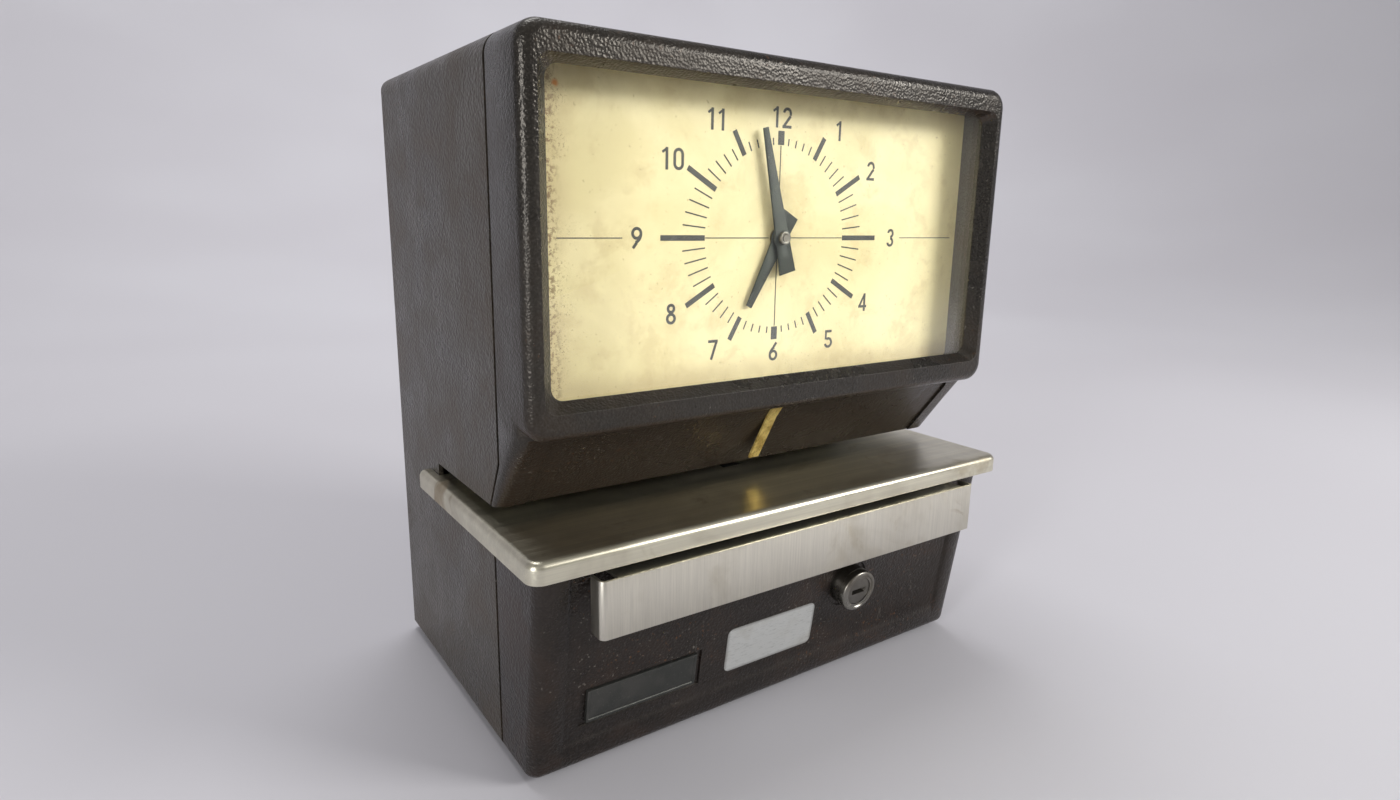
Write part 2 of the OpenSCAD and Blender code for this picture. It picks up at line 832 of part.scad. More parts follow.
module movement_plate(y0) {
    front_slab(y0, y0 + plate_t)
        round_rect(plate_x0, plate_x1, plate_z0, plate_z1, [4, 4, 4, 4]);
}

module pivot_hole(x, z, y0, r) {
    rod_along_y(x, z, y0 - 1, y0 + plate_t + 1, r + pivot_play);
}

module movement_front_plate() {
    color("#c2a55a") in_case() {
        difference() {
            movement_plate(plate_y);
            pivot_hole(0, dial_z, plate_y, arbor_r);
            pivot_hole(idler_x, upper_idler_z, plate_y, pivot_r);
            pivot_hole(idler_x, lower_idler_z, plate_y, pivot_r);
        }
        // stud that carries the motion wheel
        rod_along_y(0, dial_z - motion_d, hour_wheel_y - 0.3, plate_y + 0.5, pivot_r);
    }
}

function rear_screws() = [
    for (x = crossbar_screw_x) for (z = crossbar_zs) [x, z + crossbar_h / 2]
];

module movement_rear_plate() {
    color("#c2a55a") in_case() difference() {
        movement_plate(rear_plate_y);
        pivot_hole(0, dial_z, rear_plate_y, arbor_r);
        pivot_hole(idler_x, upper_idler_z, rear_plate_y, pivot_r);
        pivot_hole(idler_x, lower_idler_z, rear_plate_y, pivot_r);
        pivot_hole(-motor_d_axis, dial_z, rear_plate_y, 5);
        for (p = rear_screws()) {
            pivot_hole(p[0], p[1], rear_plate_y, pivot_r);
        }
    }
}

module movement_pillars() {
    color("#b7b2a4") in_case() for (p = plate_corners()) {
        rod_along_y(p[0], p[1], plate_back_y, rear_plate_y, pillar_r);
    }
}

module frame_crossbars() {
    color("#8f8a80") in_case() {
        for (z = crossbar_zs) {
            difference() {
                block(-frame_x, frame_x, movement_back, movement_back + crossbar_t, z, z + crossbar_h);
                for (p = rear_screws()) {
                    rod_along_y(p[0], p[1], movement_back - 1, movement_back + crossbar_t + 1,
                        pivot_r + pivot_play);
                }
            }
        }
        // rear tie between the frames
        block(-frame_x, frame_x, frame_y1 - 6, frame_y1 - 6 + crossbar_t, tie_z, tie_z + tie_h);
    }
}

module frame_outline() {
    nose_y = pivot_y - 7;
    head_hole_z = head_low + 3 * frame_hole_r + 3.6;
    low_hole_z = frame_z0 + 3 * frame_hole_r + 2;
    difference() {
        polygon([
            [frame_y0, frame_z0], [frame_y1, frame_z0], [frame_y1, case_h - 26], [52, case_h - 26],
            [52, head_low + floor_t], [floor_back, head_low + floor_t], [floor_back, table_under],
            [frame_y0, table_under], [frame_y0, pivot_z + 8], [nose_y, pivot_z + 8],
            [nose_y, pivot_z - 8], [frame_y0, pivot_z - 8]
        ]);
        translate([pivot_y, pivot_z]) circle(rocker_bore + pivot_play);
        for (k = [0:2]) {
            translate([frame_hole_y, head_hole_z + 40 * k]) circle(frame_hole_r);
        }
        for (k = [0, 1]) {
            translate([frame_y0 + 27 + 35 * k, low_hole_z]) circle(frame_hole_r);
        }
    }
}

module side_frame(side) {
    x0 = side > 0 ? frame_x : -frame_x - frame_t;
    f0 = side > 0 ? frame_x - frame_flange : -frame_x - frame_t;
    side_slab(x0, x0 + frame_t) frame_outline();
    difference() {
        block(f0, f0 + frame_flange + frame_t, frame_y0, frame_y1, frame_z0, frame_z0 + frame_t);
        for (y = foot_ys) {
            rod_along_z(side * foot_x, y, frame_z0 - 1, frame_z0 + frame_t + 1, screw_r + pivot_play);
        }
    }
}

module left_frame() {
    color("#9a958a") in_case() side_frame(-1);
}

module right_frame() {
    color("#9a958a") in_case() side_frame(1);
}

module base_plate() {
    side = half_w - shell_wall - 3;
    color("#8f8a80") in_case() difference() {
        union() {
            block(-side, side, low_seam_y + 1, case_d - rear_r, base_z, base_z + base_t);
            block(-side, side, low_seam_y + 1, frame_y0, base_z, dowel_z + 8);
        }
        for (s = [-1, 1]) {
            rod_along_y(s * dowel_x, dowel_z, low_seam_y, frame_y0 + 1, dowel_r + pivot_play);
            for (y = foot_ys) {
                rod_along_z(s * foot_x, y, base_z - 1, base_z + base_t + 1, screw_r + pivot_play);
            }
        }
    }
}

module cover_dowels() {
    color("#b9b9b4") in_case() for (s = [-1, 1]) {
        rod_along_y(s * dowel_x, dowel_z, low_seam_y - 10, frame_y0, dowel_r);
    }
}

module rubber_feet() {
    color("#1c1c1c") in_case() for (s = [-1, 1]) {
        for (y = foot_ys) {
            difference() {
                rod_along_z(s * foot_x, y, -foot_h, 0, foot_r);
                rod_along_z(s * foot_x, y, -foot_h + 1.2, 1, screw_r + pivot_play);
            }
        }
    }
}

// Sheet table: flat top, rims rolled down at the front and sides, lip turned up at the throat's back
module table_block(inset, z0, z1) {
    side = table_w / 2 - inset;
    front = inset - table_front;
    plan_r = table_r - inset;
    roll_r = table_roll - inset;
    intersection() {
        plan_slab(z0, z1) round_rect(-side, side, front, rim_back, [plan_r, plan_r, 0, 0]);
        side_slab(-side, side) round_rect(front, rim_back, z0, z1, [0, 0, 0, roll_r]);
        front_slab(front, rim_back) round_rect(-side, side, z0, z1, [0, 0, roll_r, roll_r]);
    }
}

module table_tray() {
    rim_r = 4;
    lip_x = half_w - shell_wall - 1;
    color("#b4b1aa") in_case() difference() {
        union() {
            difference() {
                table_block(0, table_up - rim_h, table_up);
                table_block(table_t, table_up - rim_h - 1, table_under);
                // clear of the case behind the throat, where only the side rims go on
                block(-half_w - seat, half_w + seat, throat_y, rim_back + 1,
                    table_up - rim_h - 1, table_up + 1);
            }
            block(-lip_x, lip_x, throat_y - table_t, throat_y, table_under, head_low - seat);
        }
        // window over the hammer
        block(-pad_x - 1.5, pad_x + 1.5, pad_y0 - 1.5, pad_y1 + 1.5, table_under - 1, table_up + 1);
        // rounded rear ends of the side rims
        side_slab(-half_w - table_w, half_w + table_w) {
            translate([rim_back, table_up]) rotate(180) corner_cut(rim_r);
            translate([rim_back, table_up - rim_h]) rotate(90) corner_cut(rim_r);
        }
    }
}

module head_floor() {
    side = half_w - shell_wall - seat;
    color("#6b665c") in_case() difference() {
        block(-side, side, seam_foot_y + seat, floor_back, head_low, head_low + floor_t);
        // print window, which ends past the ribbon's guide rods
        block(-print_x, print_x, print_y0, ribbon_plate_y + 1 + seat, head_low - 1, head_low + floor_t + 1);
    }
}

module clock_motor() {
    x = -motor_d_axis - motor_offset;
    color("#7d7f83") in_case() difference() {
        union() {
            rod_along_y(x, dial_z, movement_back, movement_back + motor_d, motor_r);
            rod_along_y(x, dial_z, movement_back + motor_d, movement_back + motor_d + 6, motor_r * 0.6);
        }
        rod_along_y(-motor_d_axis, dial_z, movement_back - 1, movement_back + 8, pivot_r + pivot_play);
    }
}

module type_bracket() {
    color("#9a958a") in_case() for (y = [wheel_y + 5, type_end + 2.5]) {
        difference() {
            block(-9, 9, y, y + 2, head_low + floor_t, type_z + 7);
            rod_along_y(0, type_z, y - 1, y + 3, arbor_r + pivot_play);
        }
    }
}

// Angle and length of the ribbon's run from its guide up to the spool's drum
run_x = spool_x - guide_x;
run_z = spool_z - ribbon_z;
run_len = norm([run_x, run_z]);
drum_gap_r = spool_drum_r + seat;
run_angle = atan2(run_z, run_x) - asin(drum_gap_r / run_len);
run_reach = sqrt(run_len * run_len - drum_gap_r * drum_gap_r);

module ribbon() {
    color("#241f26") in_case() front_slab(ribbon_y0, ribbon_y0 + ribbon_w) union() {
        translate([-guide_x, ribbon_z]) square([2 * guide_x, ribbon_t]);
        for (s = [0, 1]) {
            mirror([s, 0]) translate([guide_x, ribbon_z]) rotate(run_angle)
                square([run_reach, ribbon_t]);
        }
    }
}

module ribbon_plate() {
    y0 = ribbon_plate_y;
    side = spool_x + spool_r + 2;
    rise = 8;
    color("#9a958a") in_case() union() {
        block(-side, side, y0, y0 + 2, head_low + floor_t, spool_z + rise);
        for (s = [-1, 1]) {
            rod_along_y(s * spool_x, spool_z, ribbon_y0 - 4, y0 + 1, spindle_r);
            rod_along_y(s * guide_x, ribbon_z + ribbon_t + seat + guide_r, ribbon_y0 - 1, y0 + 1, guide_r);
        }
    }
}

module ribbon_spool(side) {
    y0 = ribbon_y0 - 0.6;
    y1 = ribbon_y0 + ribbon_w + 0.6;
    difference() {
        union() {
            rod_along_y(side * spool_x, spool_z, y0, y1, spool_drum_r);
            rod_along_y(side * spool_x, spool_z, y0 - 1.2, y0, spool_r);
            rod_along_y(side * spool_x, spool_z, y1, y1 + 1.2, spool_r);
        }
        rod_along_y(side * spool_x, spool_z, y0 - 2, y1 + 2, spindle_r + pivot_play);
        // driving holes in the flanges
        for (a = [0:120:240]) {
            rod_along_y(side * spool_x + 6 * cos(a), spool_z + 6 * sin(a), y0 - 2, y0 + 3, 1.2);
        }
    }
}

module left_ribbon_spool() {
    color("#3b3b40") in_case() ribbon_spool(-1);
}

module right_ribbon_spool() {
    color("#3b3b40") in_case() ribbon_spool(1);
}

module hammer_guide() {
    wall = 3;
    bar_y = hammer_y1 + wall;
    bar_z = rod_up - 15;
    box_x = 3 * hammer_x;
    box_z = bar_z + 4;
    box_h = 18;
    color("#8f8a80") in_case() union() {
        block(-frame_x, frame_x, bar_y, bar_y + wall, bar_z, bar_z + 24);
        difference() {
            block(-box_x, box_x, hammer_y0 - wall, bar_y, box_z, box_z + box_h);
            block(-hammer_x - guide_play, hammer_x + guide_play, hammer_y0 - guide_play,
                hammer_y1 + guide_play, box_z - 1, box_z + box_h + 1);
        }
    }
}

module rocker_rod() {
    color("#b9b9b4") in_case()
        rod_along_x(pivot_y, pivot_z, -frame_x - frame_t - 1, frame_x + frame_t + 1, rocker_bore);
}

module terminal_block() {
    ways = 4;
    pitch = 12;
    side = 14;
    x0 = inlet_x + inlet_r + 10;
    y0 = case_d - 30;
    color("#d8d2c0") in_case() difference() {
        block(x0, x0 + ways * pitch, y0, y0 + side, frame_z0, frame_z0 + side);
        for (k = [0:ways - 1]) {
            rod_along_z(x0 + (k + 0.5) * pitch, y0 + side / 2, frame_z0 + 6, frame_z0 + side + 1, pitch / 4);
        }
    }
}

module inlet_bushing() {
    color("#202020") in_case() difference() {
        union() {
            rod_along_y(inlet_x, inlet_z, case_d - 12, case_d, inlet_r);
            rod_along_y(inlet_x, inlet_z, case_d, case_d + inlet_flange, inlet_r + 3);
        }
        rod_along_y(inlet_x, inlet_z, case_d - 13, case_d + inlet_flange + 1, inlet_bore_r);
    }
}

module lock_keeper() {
    x0 = lock_x + 2 * cam_half_w + 4;
    z0 = lock_z - cam_len / 2;
    z1 = z0 + 20;
    leg = 20;
    color("#9a958a") in_case() union() {
        block(x0, frame_x, keeper_y, keeper_y + keeper_t, z0, z1);
        block(frame_x - keeper_t, frame_x, keeper_y, frame_y0 + leg, z0, z1);
    }
}

module bezel_screws() {
    y = seam_y + seam_gap + shell_wall;
    color("#a8a8a0") in_case() for (s = [-1, 1]) {
        for (z = boss_z) {
            rod_along_y(s * boss_x, z, boss_y + 3.5, y + eps, screw_r);
            rod_along_y(s * boss_x, z, y, y + 2.5, head_r);
        }
    }
}

module chassis_screws() {
    top = frame_z0 + frame_t;
    color("#a8a8a0") in_case() {
        for (s = [-1, 1]) {
            for (y = foot_ys) {
                rod_along_z(s * foot_x, y, -foot_h + 1.5, top + eps, screw_r);
                rod_along_z(s * foot_x, y, top, top + 2.2, head_r);
            }
        }
        for (p = rear_screws()) {
            rod_along_y(p[0], p[1], rear_plate_y - eps, movement_back + crossbar_t, pivot_r);
            rod_along_y(p[0], p[1], rear_plate_y - 2, rear_plate_y, 3);
        }
    }
}

module minute_arbor() {
    color("#c9c9c4") in_case() union() {
        rod_along_y(0, dial_z, minute_hand_y - nut_t - 0.2, minute_hand_y + hand_t + eps, pivot_r);
        rod_along_y(0, dial_z, minute_hand_y + hand_t, movement_back - 0.2, arbor_r);
    }
}

// Wheel with five lightening holes, fixed on its arbor
module wheel(x, z, phase, bore) {
    difference() {
        gear(x, z, centre_teeth, phase, wheel_y, wheel_y + wheel_t);
        rod_along_y(x, z, wheel_y - 1, wheel_y + wheel_t + 1, bore);
        for (a = [0:72:288]) {
            rod_along_y(x + 9 * cos(a), z + 9 * sin(a), wheel_y - 1, wheel_y + wheel_t + 1, 3);
        }
    }
}

module centre_wheel() {
    color("#c9a94e") in_case() wheel(0, dial_z, centre_phase, arbor_r + pivot_play);
}

module cannon_pinion() {
    color("#c9a94e") in_case() difference() {
        union() {
            gear(0, dial_z, cannon_teeth, cannon_phase, plate_y - 4.5, plate_y - 0.5);
            rod_along_y(0, dial_z, plate_y - 5.5, plate_y - 4.5, 3);
        }
        rod_along_y(0, dial_z, plate_y - 6, plate_y, arbor_r + pivot_play);
    }
}

// Tapered hand with a flat tail, pointing up
module hand_outline(length, tail, tip_w, tail_w) {
    polygon([
        [-tip_w / 2, length], [tip_w / 2, length], [tail_w / 2, -tail], [-tail_w / 2, -tail]
    ]);
    circle(hub_r);
}

module minute_hand() {
    color("#30352f") in_case() difference() {
        front_slab(minute_hand_y, minute_hand_y + hand_t) translate([0, dial_z])
            rotate(-minute_angle) hand_outline(minute_len, minute_tail, 2.6, 8.8);
        rod_along_y(0, dial_z, minute_hand_y - 1, minute_hand_y + 2, pivot_r + pivot_play);
    }
}

module hour_hand() {
    color("#30352f") in_case() difference() {
        front_slab(hour_hand_y, hour_hand_y + hand_t) translate([0, dial_z])
            rotate(-hour_angle) hand_outline(hour_len, hour_tail, 2.8, 8.8);
        rod_along_y(0, dial_z, hour_hand_y - 1, hour_hand_y + 2, hour_pipe_r + pivot_play);
    }
}

module hand_nut() {
    color("#8b8570") in_case() difference() {
        rod_along_y(0, dial_z, minute_hand_y - nut_t, minute_hand_y, nut_r);
        rod_along_y(0, dial_z, minute_hand_y - nut_t - 1, minute_hand_y + 1, pivot_r + pivot_play);
    }
}

module hour_wheel() {
    color("#c9a94e") in_case() difference() {
        union() {
            gear(0, dial_z, hour_teeth, hour_phase, hour_wheel_y, hour_wheel_y + wheel_t);
            rod_along_y(0, dial_z, hour_hand_y - 0.4, hour_wheel_y + 0.5, hour_pipe_r);
        }
        rod_along_y(0, dial_z, hour_hand_y - 1, hour_wheel_y + wheel_t + 1, arbor_r + pivot_play);
    }
}

module motion_wheel() {
    z = dial_z - motion_d;
    color("#c9a94e") in_case() difference() {
        union() {
            gear(0, z, motion_teeth, motion_phase, plate_y - 3.6, plate_y - 1.4);
            gear(0, z, pinion_teeth, motion_pinion_phase, hour_wheel_y - 0.2, plate_y - 3.5);
        }
        rod_along_y(0, z, hour_wheel_y - 1, plate_y, pivot_r + pivot_play);
    }
}

module motor_pinion() {
    color("#c9c9c4") in_case() union() {
        gear(-motor_d_axis, dial_z, pinion_teeth, motor_phase, wheel_y - 0.6, wheel_y + wheel_t + 0.6);
        rod_along_y(-motor_d_axis, dial_z, wheel_y, movement_back + 6, pivot_r);
    }
}

module idler(z, phase) {
    union() {
        wheel(idler_x, z, phase, 0.5);
        rod_along_y(idler_x, z, plate_y + 0.2, rear_plate_y + plate_t - 0.2, pivot_r);
    }
}

module upper_idler() {
    color("#c9a94e") in_case() idler(upper_idler_z, upper_phase);
}

module lower_idler() {
    color("#c9a94e") in_case() idler(lower_idler_z, lower_phase);
}

module type_shaft() {
    color("#c9c9c4") in_case() union() {
        wheel(0, type_z, type_phase, 0.5);
        rod_along_y(0, type_z, wheel_y - 1.2, type_end + 5.2, arbor_r);
    }
}

// Drum with n raised, blank type blocks
module type_wheel(slot, n) {
    y0 = type_y + slot * type_pitch;
    root = type_r - 1;
    step = 360 / n;
    color("#8d8778") in_case() difference() {
        front_slab(y0, y0 + type_w) translate([0, type_z]) polygon([
            for (i = [0:n - 1])
                for (k = [0:3])
                    let (a = i * step + [-0.3, -0.25, 0.25, 0.3][k] * step)
                    (k == 0 || k == 3 ? root : type_r) * [cos(a), sin(a)]
        ]);
        rod_along_y(0, type_z, y0 - 1, y0 + type_w + 1, arbor_r + pivot_play);
    }
}

module minute_type_wheel() {
    type_wheel(0, 30);
}

module hour_type_wheel() {
    type_wheel(1, 24);
}

module date_type_wheel() {
    type_wheel(2, 31);
}

module month_type_wheel() {
    type_wheel(3, 12);
}

// Round-edged block of the lower cover, drawn in by inset; its front leans back towards the foot
module cover_block(inset, y1) {
    side = half_w - inset;
    front = -cover_top_y - 5;
    r = cover_edge_r - inset;
    low_r = bottom_r - inset;
    intersection() {
        translate([0, -cover_top_y, cover_h]) rotate([tilt, 0, 0]) plan_slab(-2 * cover_h, cover_h)
            round_rect(-side, side, inset, case_d, [r, r, 0, 0]);
        front_slab(front, y1) round_rect(-side, side, inset, inset + cover_h, [low_r, low_r, 0, 0]);
        side_slab(-side, side) difference() {
            translate([front, inset]) square([y1 - front, cover_h]);
            translate([cover_foot_y + inset, inset]) cover_toe(0.6 * r);
        }
    }
}

// What the rounded bottom front edge of the cover loses
module cover_toe(r) {
    translate([-2, -1]) difference() {
        square([r + 2, r + 1]);
        translate([r + 2, r + 1]) circle(r);
    }
}

// Puts children on the sunk panel of the cover's leaning front: Y points into the cover
module on_cover(x, z) {
    translate([x, cover_foot_y - z * tan(tilt) + panel_t / cos(tilt), z]) rotate([tilt, 0, 0]) children();
}

module lower_cover() {
    color("#3b3432") in_case() difference() {
        union() {
            difference() {
                cover_block(0, low_seam_y);
                cover_block(cover_wall, low_seam_y + 1);
                // sunk panel, its lower edge sloping out to the face
                on_cover(0, 0) side_slab(-panel_x, panel_x) polygon([
                    [-10, cover_h + 5], [0, cover_h + 5], [0, panel_z], [-panel_t, panel_z - 10],
                    [-10, panel_z - 10]
                ]);
            }
            // bosses that slide on the dowels, webbed to the floor of the cover
            for (s = [-1, 1]) {
                rod_along_y(s * dowel_x, dowel_z, boss_front, low_seam_y, 6);
                block(s * dowel_x - 3, s * dowel_x + 3, boss_front, low_seam_y, cover_wall - 0.5, dowel_z);
            }
        }
        for (s = [-1, 1]) {
            rod_along_y(s * dowel_x, dowel_z, boss_front + 2, low_seam_y + 1, dowel_r + pivot_play);
            rod_along_y(s * rod_x, rod_up, -cover_top_y - 5, 12, bush_r + pivot_play);
        }
        on_cover(lock_x, lock_z) rod_along_y(0, 0, -5, 12, lock_barrel_r + pivot_play);
        // notch for the bar's top flange
        block(flange_inset - bar_w / 2 - 1, bar_w / 2 - flange_inset + 1, -cover_top_y - 5, 6,
            bar_high - bar_t - 0.8, cover_h + 2);
        // dimple round the lock, and the recess of the nameplate
        on_cover(lock_x, lock_z) rod_along_y(0, 0, -2, dimple_t, dimple_r);
        on_cover(0, 0) block(recess[0], recess[1], -1, recess_t, recess[2], recess[3]);
    }
}

module nameplate() {
    p = name_plate;
    color("#4d5054") in_case() on_cover(0, 0) front_slab(recess_t - 1.6, recess_t)
        round_rect(p[0], p[1], p[2], p[3], [0.8, 0.8, 0.8, 0.8]);
}

module info_plate() {
    color("#c9cac8") in_case() on_cover(0, 0) front_slab(-label_t, 0)
        round_rect(label[0], label[1], label[2], label[3], [3, 3, 3, 3]);
}

module bar_bushings() {
    color("#e3ded2") in_case() for (s = [-1, 1]) {
        difference() {
            union() {
                rod_along_y(s * rod_x, rod_up, -bush_y, 6, bush_r);
                rod_along_y(s * rod_x, rod_up, -bush_y - bush_flange, -bush_y, bush_r + 1);
            }
            rod_along_y(s * rod_x, rod_up, -bush_y - bush_flange - 1, 7, rod_r + pivot_play);
        }
    }
}

function spring_point(k) = [
    spring_r * cos(k * 45), spring_front + k * spring_pitch / 8, spring_r * sin(k * 45)
];
spring_points = [
    for (k = [0:rings])
        for (j = [0:5])
            let (out = wire_r * cos(j * 60), along = wire_r * sin(j * 60))
            spring_point(k) + [out * cos(k * 45), along, out * sin(k * 45)]
];
spring_faces = concat(
    [for (k = [0:rings - 1]) for (j = [0:5]) [6 * k + j, 6 * k + (j + 1) % 6, 6 * k + 6 + j]],
    [for (k = [0:rings - 1]) for (j = [0:5])
        [6 * k + (j + 1) % 6, 6 * k + 6 + (j + 1) % 6, 6 * k + 6 + j]],
    [for (j = [1:4]) [0, j + 1, j]],
    [for (j = [1:4]) [6 * rings, 6 * rings + j, 6 * rings + j + 1]]
);
echo(least_gap_between_turns = spring_pitch - 2 * wire_r);

// Return spring round each push rod: one unbroken wire, its ends against bar and bushing
module bar_springs() {
    color("#a9a9a5") in_case() for (s = [-1, 1]) {
        translate([s * rod_x, 0, rod_up]) polyhedron(points = spring_points, faces = spring_faces);
    }
}

module lock_body() {
    color("#5b5a58") in_case() on_cover(lock_x, lock_z) difference() {
        union() {
            rod_along_y(0, 0, -lock_out, dimple_t, lock_ring_r);
            rod_along_y(0, 0, 0, lock_depth - 3, lock_barrel_r);
        }
        rod_along_y(0, 0, -lock_out - 1, lock_depth, plug_r + pivot_play);
    }
}

module lock_plug() {
    color("#b3b3ae") in_case() on_cover(lock_x, lock_z) difference() {
        union() {
            rod_along_y(0, 0, -lock_out + 0.6, lock_depth - 2.5, plug_r);
            rod_along_y(0, 0, lock_depth - 3, lock_depth + 1, 3);
        }
        block(-4.3, 4.3, -lock_out - 1, -lock_out + 9, -1.25, 1.25);
    }
}

module lock_cam() {
    color("#b9b9b4") in_case() on_cover(lock_x, lock_z)
        difference() {
            front_slab(cam_front, cam_front + cam_t) union() {
                circle(6);
                translate([-cam_half_w, -cam_len]) square([2 * cam_half_w, cam_len]);
            }
            rod_along_y(0, 0, 0, lock_depth + 1, 3 + pivot_play);
        }
}

// Bent sheet bar: front plate, top flange under the table's rim, two ears, and the push rods
module print_bar() {
    half = bar_w / 2;
    low = bar_high - bar_h;
    ear_y = bar_back + 7.3;
    bend_r = 2.5;
    inner_r = bend_r - bar_t;
    color("#bdbab2") in_case() union() {
        plan_slab(low, bar_high) difference() {
            round_rect(-half, half, -bar_out, ear_y, [bend_r, bend_r, 0, 0]);
            round_rect(bar_t - half, half - bar_t, bar_back, ear_y + 1, [inner_r, inner_r, 0, 0]);
        }
        block(flange_inset - half, half - flange_inset, bar_back - eps, 3, bar_high - bar_t, bar_high);
        for (s = [-1, 1]) {
            rod_along_y(s * rod_x, rod_up, bar_back - eps, rod_end, rod_r);
        }
    }
}

module bar_rocker() {
    web = 1.5;
    lift_x0 = hammer_x + 1;
    color("#8d8778") in_case() difference() {
        union() {
            rod_along_x(pivot_y, pivot_z, -rod_x - 4, rod_x + 4, rocker_r);
            for (s = [-1, 1]) {
                x = s * rod_x;
                block(x - 3, x + 3, pivot_y - web, pivot_y + web, rod_up, pivot_z);
                rod_along_x(pivot_y, rod_up, x - 3, x + 3, nose_r);
            }
            block(-lift_x0, lift_x0, pivot_y, pivot_y + lift_y, pivot_z - web, pivot_z + web);
            rod_along_x(pivot_y + lift_y, pivot_z, -lift_x0, lift_x0, lift_r);
        }
        rod_along_x(pivot_y, pivot_z, -rod_x - 5, rod_x + 5, rocker_bore + pivot_play);
    }
}

module hammer() {
    block_z = pad_top - pad_h;
    color("#8f8f8b") in_case() union() {
        block(-hammer_x, hammer_x, hammer_y0, hammer_y1, rod_up - hammer_drop, block_z - 4);
        block(-pad_x, pad_x, pad_y0, pad_y1, block_z - 4, block_z);
        block(-hammer_x - 1, hammer_x + 1, pivot_y + lift_y - 2, hammer_y0 + 0.5, lug_z, lug_z + 3);
    }
}

module hammer_pad() {
    color("#1f1f1f") in_case()
        block(-pad_x, pad_x, pad_y0, pad_y1, pad_top - pad_h, pad_top);
}

rear_shell();
front_bezel();
dial_glass();
glass_retainer();
pointer_strip();
dial_plate();
dial_markings();
dial_posts();
base_plate();
cover_dowels();
rubber_feet();
left_frame();
right_frame();
frame_crossbars();
table_tray();
head_floor();
movement_front_plate();
movement_rear_plate();
movement_pillars();
clock_motor();
type_bracket();
ribbon();
ribbon_plate();
hammer_guide();
rocker_rod();
terminal_block();
inlet_bushing();
lock_keeper();
bezel_screws();
chassis_screws();
minute_arbor();
centre_wheel();
cannon_pinion();
minute_hand();
hand_nut();
hour_wheel();
hour_hand();
motion_wheel();
motor_pinion();
upper_idler();
lower_idler();
type_shaft();
minute_type_wheel();
hour_type_wheel();
date_type_wheel();
month_type_wheel();
left_ribbon_spool();
right_ribbon_spool();
lower_cover();
nameplate();
info_plate();
bar_bushings();
bar_springs();
lock_body();
lock_plug();
lock_cam();
print_bar();
bar_rocker();
hammer();
hammer_pad();
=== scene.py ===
"""Looks of a bar-operated time clock: cast head with a wide dial, steel table, leaning lower cover."""

import math

import bmesh
import bpy
from mathutils import Matrix, Vector


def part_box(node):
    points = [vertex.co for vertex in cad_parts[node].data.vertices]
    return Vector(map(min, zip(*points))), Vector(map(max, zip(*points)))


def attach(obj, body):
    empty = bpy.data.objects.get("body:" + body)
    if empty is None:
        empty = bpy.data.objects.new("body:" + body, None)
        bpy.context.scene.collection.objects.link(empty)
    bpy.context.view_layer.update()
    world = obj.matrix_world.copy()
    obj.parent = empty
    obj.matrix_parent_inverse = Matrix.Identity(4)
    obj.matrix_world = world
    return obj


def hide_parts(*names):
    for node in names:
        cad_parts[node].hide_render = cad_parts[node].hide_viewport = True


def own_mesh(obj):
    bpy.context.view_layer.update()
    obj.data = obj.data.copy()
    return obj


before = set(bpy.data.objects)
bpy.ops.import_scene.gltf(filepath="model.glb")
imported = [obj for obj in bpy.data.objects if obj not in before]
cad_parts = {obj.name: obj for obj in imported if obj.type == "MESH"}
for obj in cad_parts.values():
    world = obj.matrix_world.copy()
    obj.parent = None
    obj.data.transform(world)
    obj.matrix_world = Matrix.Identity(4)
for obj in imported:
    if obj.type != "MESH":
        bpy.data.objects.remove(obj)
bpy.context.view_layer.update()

MM = 0.001
# Largest distance at which two places count as the same
TINY = 0.02 * MM
# How far a cutting tool runs past the face that it cuts
OVER = 1 * MM

bezel_low, bezel_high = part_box("front_bezel")
cover_low, cover_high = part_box("lower_cover")
table_low, table_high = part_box("table_tray")
shell_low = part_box("rear_shell")[0]
pane_low, pane_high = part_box("dial_glass")
plate_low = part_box("dial_plate")[0]
rods_low, rods_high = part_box("bar_bushings")
label_low, label_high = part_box("info_plate")

SIDE = bezel_high.x
CREST = bezel_low.y
FRONT = pane_low.y - 1.5 * MM
TOP = bezel_high.z
HEAD_UNDER = bezel_low.z
CASE_FOOT = shell_low.z

# Head
SEAM = FRONT + 26.5 * MM
SEAM_PLAY = 0.9 * MM
SEAM_EDGE = 0.7 * MM
HEAD_WALL = 2.4 * MM
CREASE_Y = FRONT + 5.3 * MM
CREASE_Z = HEAD_UNDER + 33 * MM
SLANT_FOOT_Y = FRONT + 31 * MM
SEAM_TURN_Z = CREASE_Z - 13.4 * MM
SLANT_ANGLE = math.atan((SLANT_FOOT_Y - CREASE_Y) / (CREASE_Z - HEAD_UNDER))
SLANT_ROLL = 6 * MM
WEDGE_RISE = 14 * MM
WEDGE_SPARE = 10 * MM
RING_CORNER = 9 * MM
RING_ROLL = 5 * MM
CREST_EDGE = 1.1 * MM
WINDOW_X = 114 * MM
WINDOW_LOW = CASE_FOOT + 154.8 * MM
WINDOW_HIGH = WINDOW_LOW + 114.2 * MM
WINDOW_CORNER = 5 * MM
WINDOW_LAND = 0.5 * MM
LIP_SIDE, LIP_TOP, LIP_FOOT = 4.7 * MM, 2.5 * MM, 3.8 * MM
PANE_PLAY, PANE_SEAT = 0.3 * MM, 0.05 * MM
POCKET_CORNER = 4 * MM
HOLLOW_BEND = 2 * MM

